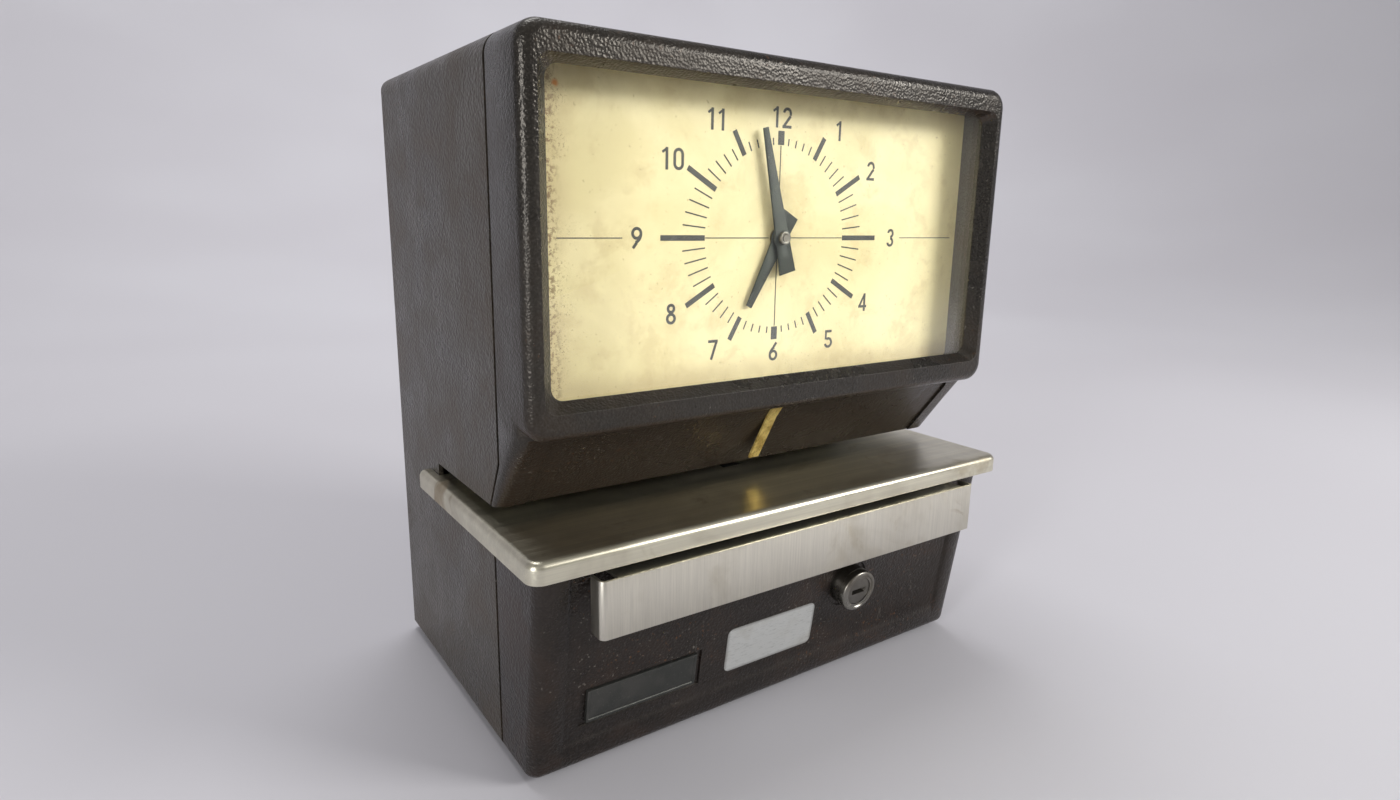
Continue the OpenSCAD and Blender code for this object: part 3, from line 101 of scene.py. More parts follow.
# Sunk panels of the slanted face and of the lower cover
PANEL_X = SIDE - 12.5 * MM
SLANT_SINK = 1.0 * MM
SLANT_CORNER = 8 * MM
SLANT_RISE = 0.6 * MM
PANEL_DEPTH = 1.5 * MM
PANEL_FOOT, PANEL_FOOT_TOP = 9 * MM, 16 * MM
PANEL_SLOPE = 2 * MM
MIDWAY_DEPTH = 0.42 * PANEL_DEPTH

# Lower cover
COVER_FOOT_Y = FRONT + 5.1 * MM
COVER_WALL = 3 * MM
COVER_ROLL = 6 * MM
COVER_CORNER = 4 * MM
COVER_TILT = math.atan((COVER_FOOT_Y - cover_low.y) / (cover_high.z - cover_low.z))
BOSS_R = 6 * MM
BOSS_FRONT = FRONT + 16 * MM
BOSS_SKIN = 2 * MM
BORE_PLAY = 0.05 * MM
BUSH_RIM = 1 * MM
BUSH_BORE_END = FRONT + 12 * MM
NOTCH_INSET, NOTCH_DROP, NOTCH_END = 6.5 * MM, 2 * MM, FRONT + 6 * MM

# Lock
LOCK_X, LOCK_Z = 39.5 * MM, 47 * MM
LOCK_RING = 10.4 * MM
LOCK_OUT = 9 * MM
LOCK_ROLL = 1.1 * MM
LOCK_FACE = 8.6 * MM
LOCK_STEP = 0.35 * MM
LOCK_SEAT, LOCK_SEAT_DEPTH = LOCK_RING + 2.2 * MM, 0.8 * MM
GROOVE_Y, GROOVE_WIDE, GROOVE_DEEP, GROOVE_TAPER = -5.4 * MM, 0.4 * MM, 0.3 * MM, 0.1 * MM
PLUG_R = 7.05 * MM
BARREL_WALL = 2 * MM
BARREL_LENGTH = 13 * MM
BARREL_HOLE_END = 12 * MM

# Nameplate, its corners in x and in height up the cover
NAME_LOW = (-101.2 * MM, 20.4 * MM)
NAME_HIGH = (-48.2 * MM, 35.9 * MM)
NAME_OUT = 0.8 * MM
NAME_BORDER, NAME_SLOPE, NAME_SINK, NAME_EDGE = 1.1 * MM, 0.3 * MM, 0.45 * MM, 0.2 * MM
RECESS_EDGES = (3 * MM, 2.8 * MM, 1.4 * MM, 0.9 * MM)
RECESS_DEPTH = 0.8 * MM

# Table
TABLE_CORNER = 6 * MM
TABLE_ROLL = 3 * MM
TABLE_SHEET = 1.5 * MM
TABLE_TOP = HEAD_UNDER - 5.4 * MM
CASE_GAP = 0.3 * MM
HAMMER_PLAY = Vector((1.5, 1.5, 3)) * MM
THROAT_Y = FRONT + 101 * MM
THROAT_X = SIDE - 8 * MM

# Camera, fitted to the photograph: metres, degrees and millimetres
CAMERA_PLACE = (-0.2338, -0.3357, 0.2243)
CAMERA_TURN = (77.212, -1.062, -34.804)
CAMERA_LENS, CAMERA_SENSOR = 21.053, 36


# Modelling steps: a block or tool is started at its place, shaped in edit mode, then finished

def leave_edit_mode():
    if bpy.context.mode != "OBJECT":
        bpy.ops.object.mode_set(mode="OBJECT")
    bpy.ops.object.select_all(action="DESELECT")


def begin_shaping(name):
    """Names the primitive just added, gives its place to its mesh and opens it with nothing chosen."""
    piece = bpy.context.object
    piece.name = name
    bpy.ops.object.transform_apply(location=True, rotation=True, scale=True)
    bpy.ops.object.mode_set(mode="EDIT")
    bpy.ops.mesh.select_all(action="DESELECT")
    return piece


def start_block(name, low, high):
    """A block from corner low to corner high."""
    low, high = Vector(low), Vector(high)
    leave_edit_mode()
    bpy.ops.mesh.primitive_cube_add(size=1, location=(low + high) / 2, scale=high - low)
    return begin_shaping(name)


def start_disc(name, radius, y0, y1, x=0, z=0, sides=96):
    """A round bar along Y from y0 to y1."""
    leave_edit_mode()
    bpy.ops.mesh.primitive_cylinder_add(
        vertices=sides, radius=radius, depth=y1 - y0, location=(x, (y0 + y1) / 2, z),
        rotation=(math.pi / 2, 0, 0))
    return begin_shaping(name)


def choose(piece, mode, test):
    """Chooses the points, edges or faces of the open piece that pass the test."""
    bpy.ops.mesh.select_mode(type=mode)
    bpy.ops.mesh.select_all(action="DESELECT")
    mesh = bmesh.from_edit_mesh(piece.data)
    mesh.normal_update()
    for part in {"VERT": mesh.verts, "EDGE": mesh.edges, "FACE": mesh.faces}[mode]:
        part.select_set(bool(test(part)))
    bmesh.update_edit_mesh(piece.data)


def choose_points(piece, test):
    choose(piece, "VERT", lambda v: test(v.co))


def choose_edges(piece, test):
    choose(piece, "EDGE", lambda e: test(e.verts[0].co, e.verts[1].co))


def choose_faces(piece, test):
    choose(piece, "FACE", lambda f: test(f.calc_center_median(), f.normal))


def move_points(piece, test, step):
    choose_points(piece, test)
    bpy.ops.transform.translate(value=step)


def round_edges(piece, test, radius, steps):
    choose_edges(piece, test)
    bpy.ops.mesh.bevel(offset=radius, offset_type="OFFSET", segments=steps, affect="EDGES",
                       clamp_overlap=False)


def in_depth(a, b):
    """True for an edge that runs along Y."""
    return abs(a.y - b.y) > MM


def at_one_x(a, b):
    """True for an edge whose ends share their x."""
    return abs(a.x - b.x) < TINY


def slice_at(place, normal, **keep):
    """Cuts the whole open piece along a plane."""
    bpy.ops.mesh.select_all(action="SELECT")
    bpy.ops.mesh.bisect(plane_co=place, plane_no=normal, **keep)


def apply_modifier(piece, kind, **settings):
    leave_edit_mode()
    bpy.context.view_layer.objects.active = piece
    piece.select_set(True)
    modifier = piece.modifiers.new(kind.lower(), kind)
    for setting, value in settings.items():
        setattr(modifier, setting, value)
    bpy.ops.object.modifier_apply(modifier=modifier.name)


def use_tool(piece, tool, operation="DIFFERENCE"):
    """Cuts the tool's shape out of the piece, or adds it to the piece, and puts the tool away."""
    leave_edit_mode()
    apply_modifier(piece, "BOOLEAN", object=tool, operation=operation, solver="EXACT")
    bpy.data.objects.remove(tool)


def give_wall(piece, wall):
    """Turns an open sheet with outward normals into a closed wall that grows inwards."""
    apply_modifier(piece, "SOLIDIFY", thickness=wall, offset=-1, use_even_offset=True)


def tidy_mesh(piece, angle=35):
    """Merges doubles, turns the faces outwards and smooths what is rounder than angle."""
    leave_edit_mode()
    bpy.context.view_layer.objects.active = piece
    piece.select_set(True)
    bpy.ops.object.mode_set(mode="EDIT")
    bpy.ops.mesh.select_all(action="SELECT")
    bpy.ops.mesh.remove_doubles(threshold=0.5 * TINY)
    bpy.ops.mesh.normals_make_consistent(inside=False)
    bpy.ops.object.mode_set(mode="OBJECT")
    bpy.ops.object.shade_smooth_by_angle(angle=math.radians(angle))


def join(piece, *others):
    leave_edit_mode()
    for other in others:
        other.select_set(True)
    piece.select_set(True)
    bpy.context.view_layer.objects.active = piece
    bpy.ops.object.join()
    return piece


def place_on_cover(piece, x, z):
    """Moves a piece drawn about the origin onto the sunk panel of the leaning cover."""
    leave_edit_mode()
    panel_y = COVER_FOOT_Y - z * math.tan(COVER_TILT) + PANEL_DEPTH / math.cos(COVER_TILT)
    place = Vector((x, panel_y, CASE_FOOT + z))
    piece.data.transform(Matrix.Translation(place) @ Matrix.Rotation(COVER_TILT, 4, "X"))


def put_in_place(piece, body, slot, finish, *nodes):
    """Gives a finished piece its material, its body and the CAD nodes that it stands for."""
    leave_edit_mode()
    piece.data.materials.clear()
    piece.data.materials.append(finish)
    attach(piece, body)
    if nodes:
        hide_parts(*nodes)


def softened_copy(node, name, radius, steps=2, angle=35):
    """A merged copy of a CAD node with its sharp edges rounded."""
    leave_edit_mode()
    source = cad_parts[node]
    piece = bpy.data.objects.new(name, source.data.copy())
    bpy.context.scene.collection.objects.link(piece)
    bpy.context.view_layer.objects.active = piece
    piece.select_set(True)
    if piece.data.has_custom_normals:
        bpy.ops.mesh.customdata_custom_splitnormals_clear()
    bpy.ops.object.mode_set(mode="EDIT")
    bpy.ops.mesh.select_all(action="SELECT")
    bpy.ops.mesh.remove_doubles(threshold=0.5 * TINY)
    bpy.ops.mesh.dissolve_limited(angle_limit=math.radians(0.5))
    apply_modifier(piece, "BEVEL", width=radius, segments=steps, limit_method="ANGLE",
                   angle_limit=math.radians(angle), use_clamp_overlap=True)
    bpy.ops.object.mode_set(mode="EDIT")
    bpy.ops.mesh.select_all(action="SELECT")
    bpy.ops.mesh.quads_convert_to_tris()
    tidy_mesh(piece, angle)
    return piece


# Pieces

def slant_y(z):
    """Depth of the slanted face at height z."""
    return CREASE_Y + (CREASE_Z - z) * math.tan(SLANT_ANGLE)


def make_ring_block():
    """Solid outside of the ring and of the head up to the seam, its corners and front edges rolled."""
    back = SEAM - SEAM_PLAY
    ring = start_block("bezel_casting", (-SIDE, CREST, CREASE_Z), (SIDE, back, TOP))
    round_edges(ring, in_depth, RING_CORNER, 12)
    round_edges(ring, lambda a, b: max(a.y, b.y) < CREST + TINY, RING_ROLL, 10)
    round_edges(ring, lambda a, b: min(a.y, b.y) > back - TINY, SEAM_EDGE, 2)
    return ring


def make_wedge():
    """Solid outside of the slanted part under the ring, its side edges rolled."""
    top = CREASE_Z + WEDGE_RISE
    foot = HEAD_UNDER - WEDGE_SPARE
    back = SEAM - SEAM_PLAY
    back_slope = (bezel_high.y - SEAM) / (SEAM_TURN_Z - HEAD_UNDER)
    wedge = start_block("wedge", (-SIDE, CREASE_Y, foot), (SIDE, back, top))
    for z in (CREASE_Z, SEAM_TURN_Z):
        slice_at((0, 0, z), (0, 0, 1))
    front = lambda at: at.y < CREASE_Y + TINY
    move_points(wedge, lambda at: front(at) and at.z < foot + TINY, (0, slant_y(foot) - CREASE_Y, 0))
    move_points(wedge, lambda at: front(at) and abs(at.z - SEAM_TURN_Z) < TINY,
                (0, slant_y(SEAM_TURN_Z) - CREASE_Y, 0))
    move_points(wedge, lambda at: at.z < foot + TINY and abs(at.y - back) < TINY,
                (0, back_slope * (SEAM_TURN_Z - foot), 0))
    on_front = lambda at: abs(at.y - max(CREASE_Y, slant_y(at.z))) < 2 * TINY
    round_edges(wedge, lambda a, b: on_front(a) and on_front(b) and at_one_x(a, b), SLANT_ROLL, 8)
    on_back = lambda at: abs(at.y - back - back_slope * max(0, SEAM_TURN_Z - at.z)) < 2 * TINY
    round_edges(wedge, lambda a, b: on_back(a) and on_back(b) and at_one_x(a, b), SEAM_EDGE, 2)
    slice_at((0, 0, HEAD_UNDER), (0, 0, 1), clear_inner=True, use_fill=True)
    return wedge


def make_hollow():
    """Tool for the inside of the head: open at the back, its floor along the slanted face."""
    side, top, front_y = SIDE - HEAD_WALL, TOP - HEAD_WALL, FRONT + RING_ROLL
    floor_z = lambda y: HEAD_UNDER + (SLANT_FOOT_Y - y) / math.tan(SLANT_ANGLE) \
        + HEAD_WALL / math.sin(SLANT_ANGLE)
    far = bezel_high.y + OVER
    foot = floor_z(far)
    bend_y = CREASE_Y + HOLLOW_BEND
    hollow = start_block("hollow", (-side, front_y, foot), (side, far, top))
    slice_at((0, 0, floor_z(bend_y)), (0, 0, 1))
    slice_at((0, 0, pane_low.z), (0, 0, 1))
    front = lambda at: at.y < front_y + TINY
    move_points(hollow, lambda at: front(at) and abs(at.z - floor_z(bend_y)) < TINY,
                (0, bend_y - front_y, 0))
    move_points(hollow, lambda at: front(at) and at.z < foot + TINY, (0, far - OVER - front_y, 0))
    round_edges(hollow, lambda a, b: in_depth(a, b) and min(a.z, b.z) > top - TINY,
                RING_CORNER - HEAD_WALL, 8)
    return hollow


def make_slant_panel():
    """Tool for the sunk panel: drawn upright at the crease, then leaned onto the slanted face."""
    length = (CREASE_Z - HEAD_UNDER) / math.cos(SLANT_ANGLE)
    sunk = start_block("sunk_panel", (-PANEL_X, -4 * OVER, -length - 3 * OVER),
                       (PANEL_X, SLANT_SINK, SLANT_RISE))
    round_edges(sunk, lambda a, b: min(a.z, b.z) > -MM and in_depth(a, b), SLANT_CORNER, 10)
    leave_edit_mode()
    lean = Matrix.Rotation(SLANT_ANGLE, 4, "X")
    sunk.data.transform(Matrix.Translation((0, CREASE_Y, CREASE_Z)) @ lean)
    return sunk


def make_pocket():
    """Tool for the seat of the glass."""
    pocket = start_block("pocket", (pane_low.x - PANE_PLAY, pane_low.y - PANE_SEAT, pane_low.z - PANE_PLAY),
                         (pane_high.x + PANE_PLAY, FRONT + RING_ROLL + OVER, pane_high.z + PANE_PLAY))
    round_edges(pocket, in_depth, POCKET_CORNER, 6)
    return pocket


def make_window():
    """Tool for the window: straight at the glass, then wider towards the crest."""
    middle = (WINDOW_LOW + WINDOW_HIGH) / 2
    window = start_block("window", (-WINDOW_X, CREST - OVER, WINDOW_LOW),
                         (WINDOW_X, pane_low.y + OVER, WINDOW_HIGH))
    round_edges(window, in_depth, WINDOW_CORNER, 10)
    land = pane_low.y - WINDOW_LAND
    slice_at((0, land, 0), (0, 1, 0))
    reach = (land - CREST + OVER) / (land - CREST)
    at_front = lambda at: at.y < CREST - OVER / 2
    for inside, step in (
        (lambda at: at.x < 0, (-LIP_SIDE * reach, 0, 0)),
        (lambda at: at.x > 0, (LIP_SIDE * reach, 0, 0)),
        (lambda at: at.z > middle, (0, 0, LIP_TOP * reach)),
        (lambda at: at.z < middle, (0, 0, -LIP_FOOT * reach)),
    ):
        move_points(window, lambda at: at_front(at) and inside(at), step)
    return window


def make_bezel(finish):
    """Cast head front: a raised ring round the window, hollow behind, over a slanted face."""
    bezel = make_ring_block()
    use_tool(bezel, make_wedge(), "UNION")
    for make_tool in (make_hollow, make_slant_panel, make_pocket, make_window):
        use_tool(bezel, make_tool())
    tidy_mesh(bezel)
    bpy.ops.object.mode_set(mode="EDIT")
    in_crest = lambda at: at.y < CREST + TINY and abs(at.x) < SIDE - RING_ROLL - TINY \
        and CREASE_Z + RING_ROLL + TINY < at.z < TOP - RING_ROLL - TINY
    choose_edges(bezel, lambda a, b: in_crest(a) and in_crest(b))
    bpy.ops.mesh.bevel(offset=CREST_EDGE, offset_type="OFFSET", segments=4, affect="EDGES",
                       clamp_overlap=True)
    tidy_mesh(bezel)
    put_in_place(bezel, "root", "bezel_paint", finish, "front_bezel")


def outside_wall(at):
    """True on the outer outline of the cover's open back, corners included."""
    x, z = abs(at.x) - SIDE + COVER_CORNER, cover_low.z + COVER_CORNER - at.z
    if x > 0 and z > 0:
        return math.hypot(x, z) > COVER_CORNER - 0.1 * MM
    return x > COVER_CORNER - TINY or z > COVER_CORNER - TINY


def sink_cover_panel(cover):
    """Pushes the middle of the open cover's front inwards, with slopes at its sides and foot."""
    up = Vector((0, -math.sin(COVER_TILT), math.cos(COVER_TILT)))
    inward = Vector((0, math.cos(COVER_TILT), math.sin(COVER_TILT)))
    foot = Vector((0, COVER_FOOT_Y, cover_low.z))
    height = lambda at: (at - foot).dot(up)
    midway_x, midway_z = PANEL_X - PANEL_SLOPE / 2, (PANEL_FOOT + PANEL_FOOT_TOP) / 2
    for x in (PANEL_X, midway_x, PANEL_X - PANEL_SLOPE):
        for side in (-1, 1):
            slice_at((side * x, 0, 0), (1, 0, 0))
    for z in (PANEL_FOOT, midway_z, PANEL_FOOT_TOP):
        slice_at(foot + z * up, up)
    on_front = lambda at: abs((at - foot).dot(inward)) < 4 * TINY
    choose_points(cover, lambda at: on_front(at) and abs(at.x) < PANEL_X - PANEL_SLOPE + TINY
                  and height(at) > PANEL_FOOT_TOP - TINY)
    bpy.ops.transform.translate(value=inward * PANEL_DEPTH)
    choose_points(cover, lambda at: on_front(at) and (
        abs(abs(at.x) - midway_x) < TINY and height(at) > PANEL_FOOT_TOP - TINY
        or abs(at.x) < midway_x + TINY and abs(height(at) - midway_z) < TINY))
    bpy.ops.transform.translate(value=inward * MIDWAY_DEPTH)


def bore_cover(cover):
    """Dowel bosses with blind holes, and the holes of the bar's two rods."""
    dowels_low, dowels_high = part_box("cover_dowels")
    dowel_r = (dowels_high.z - dowels_low.z) / 2
    dowel_x, dowel_z = dowels_high.x - dowel_r, dowels_low.z + dowel_r
    for x in (-dowel_x, dowel_x):
        use_tool(cover, start_disc("boss", BOSS_R, BOSS_FRONT, cover_high.y, x, dowel_z, 48), "UNION")
        use_tool(cover, start_disc("dowel_hole", dowel_r + BORE_PLAY, BOSS_FRONT + BOSS_SKIN,
                                   cover_high.y + OVER, x, dowel_z, 48))
    bush_r = (rods_high.z - rods_low.z) / 2 - BUSH_RIM
    rod_x, rod_z = rods_high.x - bush_r - BUSH_RIM, (rods_high.z + rods_low.z) / 2
    for x in (-rod_x, rod_x):
        use_tool(cover, start_disc("rod_hole", bush_r + BORE_PLAY, cover_low.y - 5 * OVER, BUSH_BORE_END,
                                   x, rod_z, 48))


def make_cover(finish):
    """Leaning lower cover with a softly sunk panel, holes for the bar and lock, and its dowel bosses."""
    lean = cover_low.y - COVER_FOOT_Y
    back = cover_high.y - SEAM_PLAY
    cover = start_block("cover_casting", cover_low, (cover_high.x, back, cover_high.z))
    move_points(cover, lambda at: at.y < cover_low.y + TINY and at.z < cover_low.z + TINY, (0, -lean, 0))
    front = lambda at: abs(at.y - COVER_FOOT_Y + (at.z - cover_low.z) * math.tan(COVER_TILT)) < 2 * TINY
    round_edges(cover, lambda a, b: front(a) and front(b) and at_one_x(a, b), COVER_ROLL, 6)
    round_edges(cover, lambda a, b: max(a.z, b.z) < cover_low.z + TINY and min(a.y, b.y) < back - TINY,
                COVER_CORNER, 5)
    sink_cover_panel(cover)
    choose_faces(cover, lambda at, out: out.z > 0.99 or out.y > 0.99)
    bpy.ops.mesh.delete(type="FACE")
    give_wall(cover, COVER_WALL)
    tidy_mesh(cover)
    bpy.ops.object.mode_set(mode="EDIT")
    at_seam = lambda at: at.y > back - TINY \
        and (abs(at.x) > SIDE - COVER_CORNER - 0.1 * MM or at.z < cover_low.z + TINY)
    round_edges(cover, lambda a, b: at_seam(a) and at_seam(b) and outside_wall(a) and outside_wall(b),
                SEAM_EDGE, 2)
    bore_cover(cover)
    for radius, front_y, back_y in ((LOCK_SEAT, -3 * OVER, LOCK_SEAT_DEPTH),
                                    (PLUG_R + BARREL_WALL, -5 * OVER, BARREL_HOLE_END)):
        hole = start_disc("lock_hole", radius, front_y, back_y)
        place_on_cover(hole, LOCK_X, LOCK_Z)
        use_tool(cover, hole)
    left, right, below, above = RECESS_EDGES
    recess = start_block("recess", (NAME_LOW[0] - left, -2 * OVER, NAME_LOW[1] - below),
                         (NAME_HIGH[0] + right, RECESS_DEPTH, NAME_HIGH[1] + above))
    place_on_cover(recess, 0, 0)
    use_tool(cover, recess)
    bar_low, bar_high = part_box("print_bar")
    notch_low = (bar_low.x + NOTCH_INSET, cover_low.y - 5 * OVER, bar_high.z - NOTCH_DROP)
    notch_high = (bar_high.x - NOTCH_INSET, NOTCH_END, cover_high.z + OVER)
    use_tool(cover, start_block("notch", notch_low, notch_high))
    tidy_mesh(cover)
    put_in_place(cover, "cover", "cover_paint", finish, "lower_cover")


def make_table(finish):
    """Sheet table: rolled front and side rims, its window over the hammer and the lip in the throat."""
    table = start_block("table_sheet", table_low, (table_high.x, table_high.y, TABLE_TOP))
    round_edges(table, lambda a, b: abs(a.z - b.z) > MM and max(a.y, b.y) < table_low.y + TINY,
                TABLE_CORNER, 10)
    round_edges(table, lambda a, b: min(a.z, b.z) > TABLE_TOP - TINY
                and min(a.y, b.y) < table_high.y - TINY, TABLE_ROLL, 6)
    choose_faces(table, lambda at, out: out.z < -0.9 or out.y > 0.9)
    bpy.ops.mesh.delete(type="FACE")
    give_wall(table, TABLE_SHEET)
    tidy_mesh(table)
    use_tool(table, start_block("case_gap", (-SIDE - CASE_GAP, THROAT_Y, table_low.z - OVER),
                                (SIDE + CASE_GAP, table_high.y + OVER, TABLE_TOP + OVER)))
    pad_low, pad_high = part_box("hammer_pad")
    use_tool(table, start_block("hammer_window", pad_low - HAMMER_PLAY, pad_high + HAMMER_PLAY))
    lip = start_block("lip", (-THROAT_X, THROAT_Y - TABLE_SHEET, TABLE_TOP - TABLE_SHEET),
                      (THROAT_X, THROAT_Y, HEAD_UNDER - CASE_GAP))
    use_tool(table, lip, "UNION")
    tidy_mesh(table)
    put_in_place(table, "root", "table_steel", finish, "table_tray")


def make_lock_ring(finish):
    """Lock barrel: a rounded ring, a flat, a step down to the plug and the collar behind."""
    ring = start_disc("lock_ring", LOCK_RING, -LOCK_OUT, RECESS_DEPTH)
    choose_faces(ring, lambda at, out: out.y < -0.99)
    bpy.ops.mesh.inset(thickness=LOCK_RING - LOCK_FACE)
    bpy.ops.mesh.inset(thickness=LOCK_STEP, depth=-LOCK_STEP)
    bpy.ops.mesh.inset(thickness=LOCK_FACE - LOCK_STEP - PLUG_R)
    bore = LOCK_OUT + RECESS_DEPTH - LOCK_STEP
    bpy.ops.mesh.extrude_region_move(TRANSFORM_OT_translate={"value": (0, bore, 0)})
    on_axis = lambda at: abs(at.x) < TINY and abs(at.z) < TINY
    choose_faces(ring, lambda at, out: abs(out.y) > 0.99 and at.y > RECESS_DEPTH - TINY and on_axis(at))
    bpy.ops.mesh.bridge_edge_loops()
    round_edges(ring, lambda a, b: max(a.y, b.y) < -LOCK_OUT + TINY
                and min(a.xz.length, b.xz.length) > LOCK_RING - TINY, LOCK_ROLL, 5)
    for side in (-1, 1):
        slice_at((0, GROOVE_Y + side * GROOVE_WIDE / 2, 0), (0, 1, 0))
    choose_faces(ring, lambda at, out: abs(at.y - GROOVE_Y) < TINY and at.xz.length > LOCK_FACE)
    bpy.ops.mesh.inset(thickness=GROOVE_TAPER, depth=-GROOVE_DEEP)
    place_on_cover(ring, LOCK_X, LOCK_Z)
    barrel = start_disc("barrel", PLUG_R + BARREL_WALL, 0, BARREL_LENGTH)
    choose_faces(barrel, lambda at, out: abs(out.y) > 0.99)
    bpy.ops.mesh.inset(thickness=BARREL_WALL)
    choose_faces(barrel, lambda at, out: abs(out.y) > 0.99 and on_axis(at))
    bpy.ops.mesh.bridge_edge_loops()
    place_on_cover(barrel, LOCK_X, LOCK_Z)
    ring = join(ring, barrel)
    tidy_mesh(ring)
    put_in_place(ring, "cover", "lock_dark", finish, "lock_body")


def make_name_plate(finish):
    """Bare plate with a raised border, in the recess of the cover."""
    plate = start_block("name_plate", (NAME_LOW[0], -NAME_OUT, NAME_LOW[1]),
                        (NAME_HIGH[0], RECESS_DEPTH, NAME_HIGH[1]))
    choose_faces(plate, lambda at, out: out.y < -0.99)
    bpy.ops.mesh.inset(thickness=NAME_BORDER)
    bpy.ops.mesh.inset(thickness=NAME_SLOPE, depth=-NAME_SINK)
    round_edges(plate, lambda a, b: max(a.y, b.y) < TINY - NAME_OUT and (a - b).length > 3 * MM,
                NAME_EDGE, 2)
    place_on_cover(plate, 0, 0)
    tidy_mesh(plate, 30)
    put_in_place(plate, "cover", "name_metal", finish, "nameplate")


def make_springs(finish):
    """Coil springs of the push bar, a merged copy with a mesh of its own; the real springs shorten as the
    bar is pressed.
    """
    coils = softened_copy("bar_springs", "coil_springs", TINY)
    put_in_place(coils, "cover", "bright_steel", finish, "bar_springs")
    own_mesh(coils)


# Finishes

SOCKETS = {
    "colour": "Base Color", "rough": "Roughness", "metal": "Metallic", "coat": "Coat Weight",
    "coat_rough": "Coat Roughness", "specular": "Specular IOR Level", "glass": "Transmission Weight",
    "ior": "IOR", "sheen": "Sheen Weight", "tint": "Specular Tint",
}


class Finish:
    """A node material in the making: each step adds a node and gives its output."""

    def __init__(self, name, **values):
        self.material = bpy.data.materials.new(name)
        self.material.use_nodes = True
        self.tree = self.material.node_tree
        self.shader = self.tree.nodes["Principled BSDF"]
        self.at = self.tree.nodes.new("ShaderNodeTexCoord").outputs["Object"]
        for key, value in values.items():
            self.feed(self.shader.inputs[SOCKETS[key]], value)

    def feed(self, socket, value):
        if isinstance(value, bpy.types.NodeSocket):
            self.tree.links.new(value, socket)
        elif isinstance(value, (tuple, list)) and socket.type == "RGBA":
            socket.default_value = (*value, 1)
        else:
            socket.default_value = value

    def stretched(self, scale, shift=(0, 0, 0), turn=(0, 0, 0)):
        node = self.tree.nodes.new("ShaderNodeMapping")
        self.feed(node.inputs["Vector"], self.at)
        node.inputs["Scale"].default_value = scale
        node.inputs["Location"].default_value = shift
        node.inputs["Rotation"].default_value = turn
        return node.outputs[0]

    def noise(self, scale, detail=2.0, grain=0.5, at=None, warp=0.0):
        node = self.tree.nodes.new("ShaderNodeTexNoise")
        self.feed(node.inputs["Vector"], self.at if at is None else at)
        node.inputs["Scale"].default_value = scale
        node.inputs["Detail"].default_value = detail
        node.inputs["Roughness"].default_value = grain
        node.inputs["Distortion"].default_value = warp
        return node.outputs["Fac"]

    def cells(self, scale, at=None, soft=0.5, feature="SMOOTH_F1"):
        node = self.tree.nodes.new("ShaderNodeTexVoronoi")
        node.feature = feature
        self.feed(node.inputs["Vector"], self.at if at is None else at)
        node.inputs["Scale"].default_value = scale
        if feature == "SMOOTH_F1":
            node.inputs["Smoothness"].default_value = soft
        return node.outputs["Distance"]

    def fit(self, value, low, high, to_low=0.0, to_high=1.0):
        node = self.tree.nodes.new("ShaderNodeMapRange")
        node.interpolation_type = "SMOOTHSTEP"
        for socket, number in zip(node.inputs, (value, low, high, to_low, to_high)):
            self.feed(socket, number)
        return node.outputs[0]

    def sums(self, operation, first, second=0.0):
        node = self.tree.nodes.new("ShaderNodeMath")
        node.operation = operation
        self.feed(node.inputs[0], first)
        self.feed(node.inputs[1], second)
        return node.outputs[0]

    def both(self, first, second):
        return self.sums("MULTIPLY", first, second)

    def mix(self, share, first, second, blend="MIX"):
        node = self.tree.nodes.new("ShaderNodeMix")
        node.data_type = "RGBA"
        node.blend_type = blend
        for index, value in ((0, share), (6, first), (7, second)):
            self.feed(node.inputs[index], value)
        return node.outputs[2]

    def along(self, axis):
        node = self.tree.nodes.new("ShaderNodeSeparateXYZ")
        self.feed(node.inputs[0], self.at)
        return node.outputs["XYZ".index(axis)]

    def away_from(self, place):
        """Distance from a point of the object."""
        node = self.tree.nodes.new("ShaderNodeVectorMath")
        node.operation = "DISTANCE"
        self.feed(node.inputs[0], self.at)
        node.inputs[1].default_value = place
        return node.outputs["Value"]

    def facing(self, axis):
        node = self.tree.nodes.new("ShaderNodeNewGeometry")
        split = self.tree.nodes.new("ShaderNodeSeparateXYZ")
        self.feed(split.inputs[0], node.outputs["Normal"])
        return split.outputs["XYZ".index(axis)]

    def bump(self, height, depth, strength=1.0, after=None):
        node = self.tree.nodes.new("ShaderNodeBump")
        node.inputs["Strength"].default_value = strength
        node.inputs["Distance"].default_value = depth
        self.feed(node.inputs["Height"], height)
        if after is not None:
            self.feed(node.inputs["Normal"], after)
        return node.outputs[0]

    def wear(self, **sockets):
        """Feeds the shader, and gives the finished material."""
        for key, value in sockets.items():
            self.feed(self.shader.inputs["Normal" if key == "normal" else SOCKETS[key]], value)
        return self.material


RUST = (0.20, 0.085, 0.03)
GRIME = (0.035, 0.026, 0.018)
# pale dust colour, also used at half strength as painted light on faces that look up
DUST_AND_TOP_LIGHT = (0.42, 0.39, 0.34)


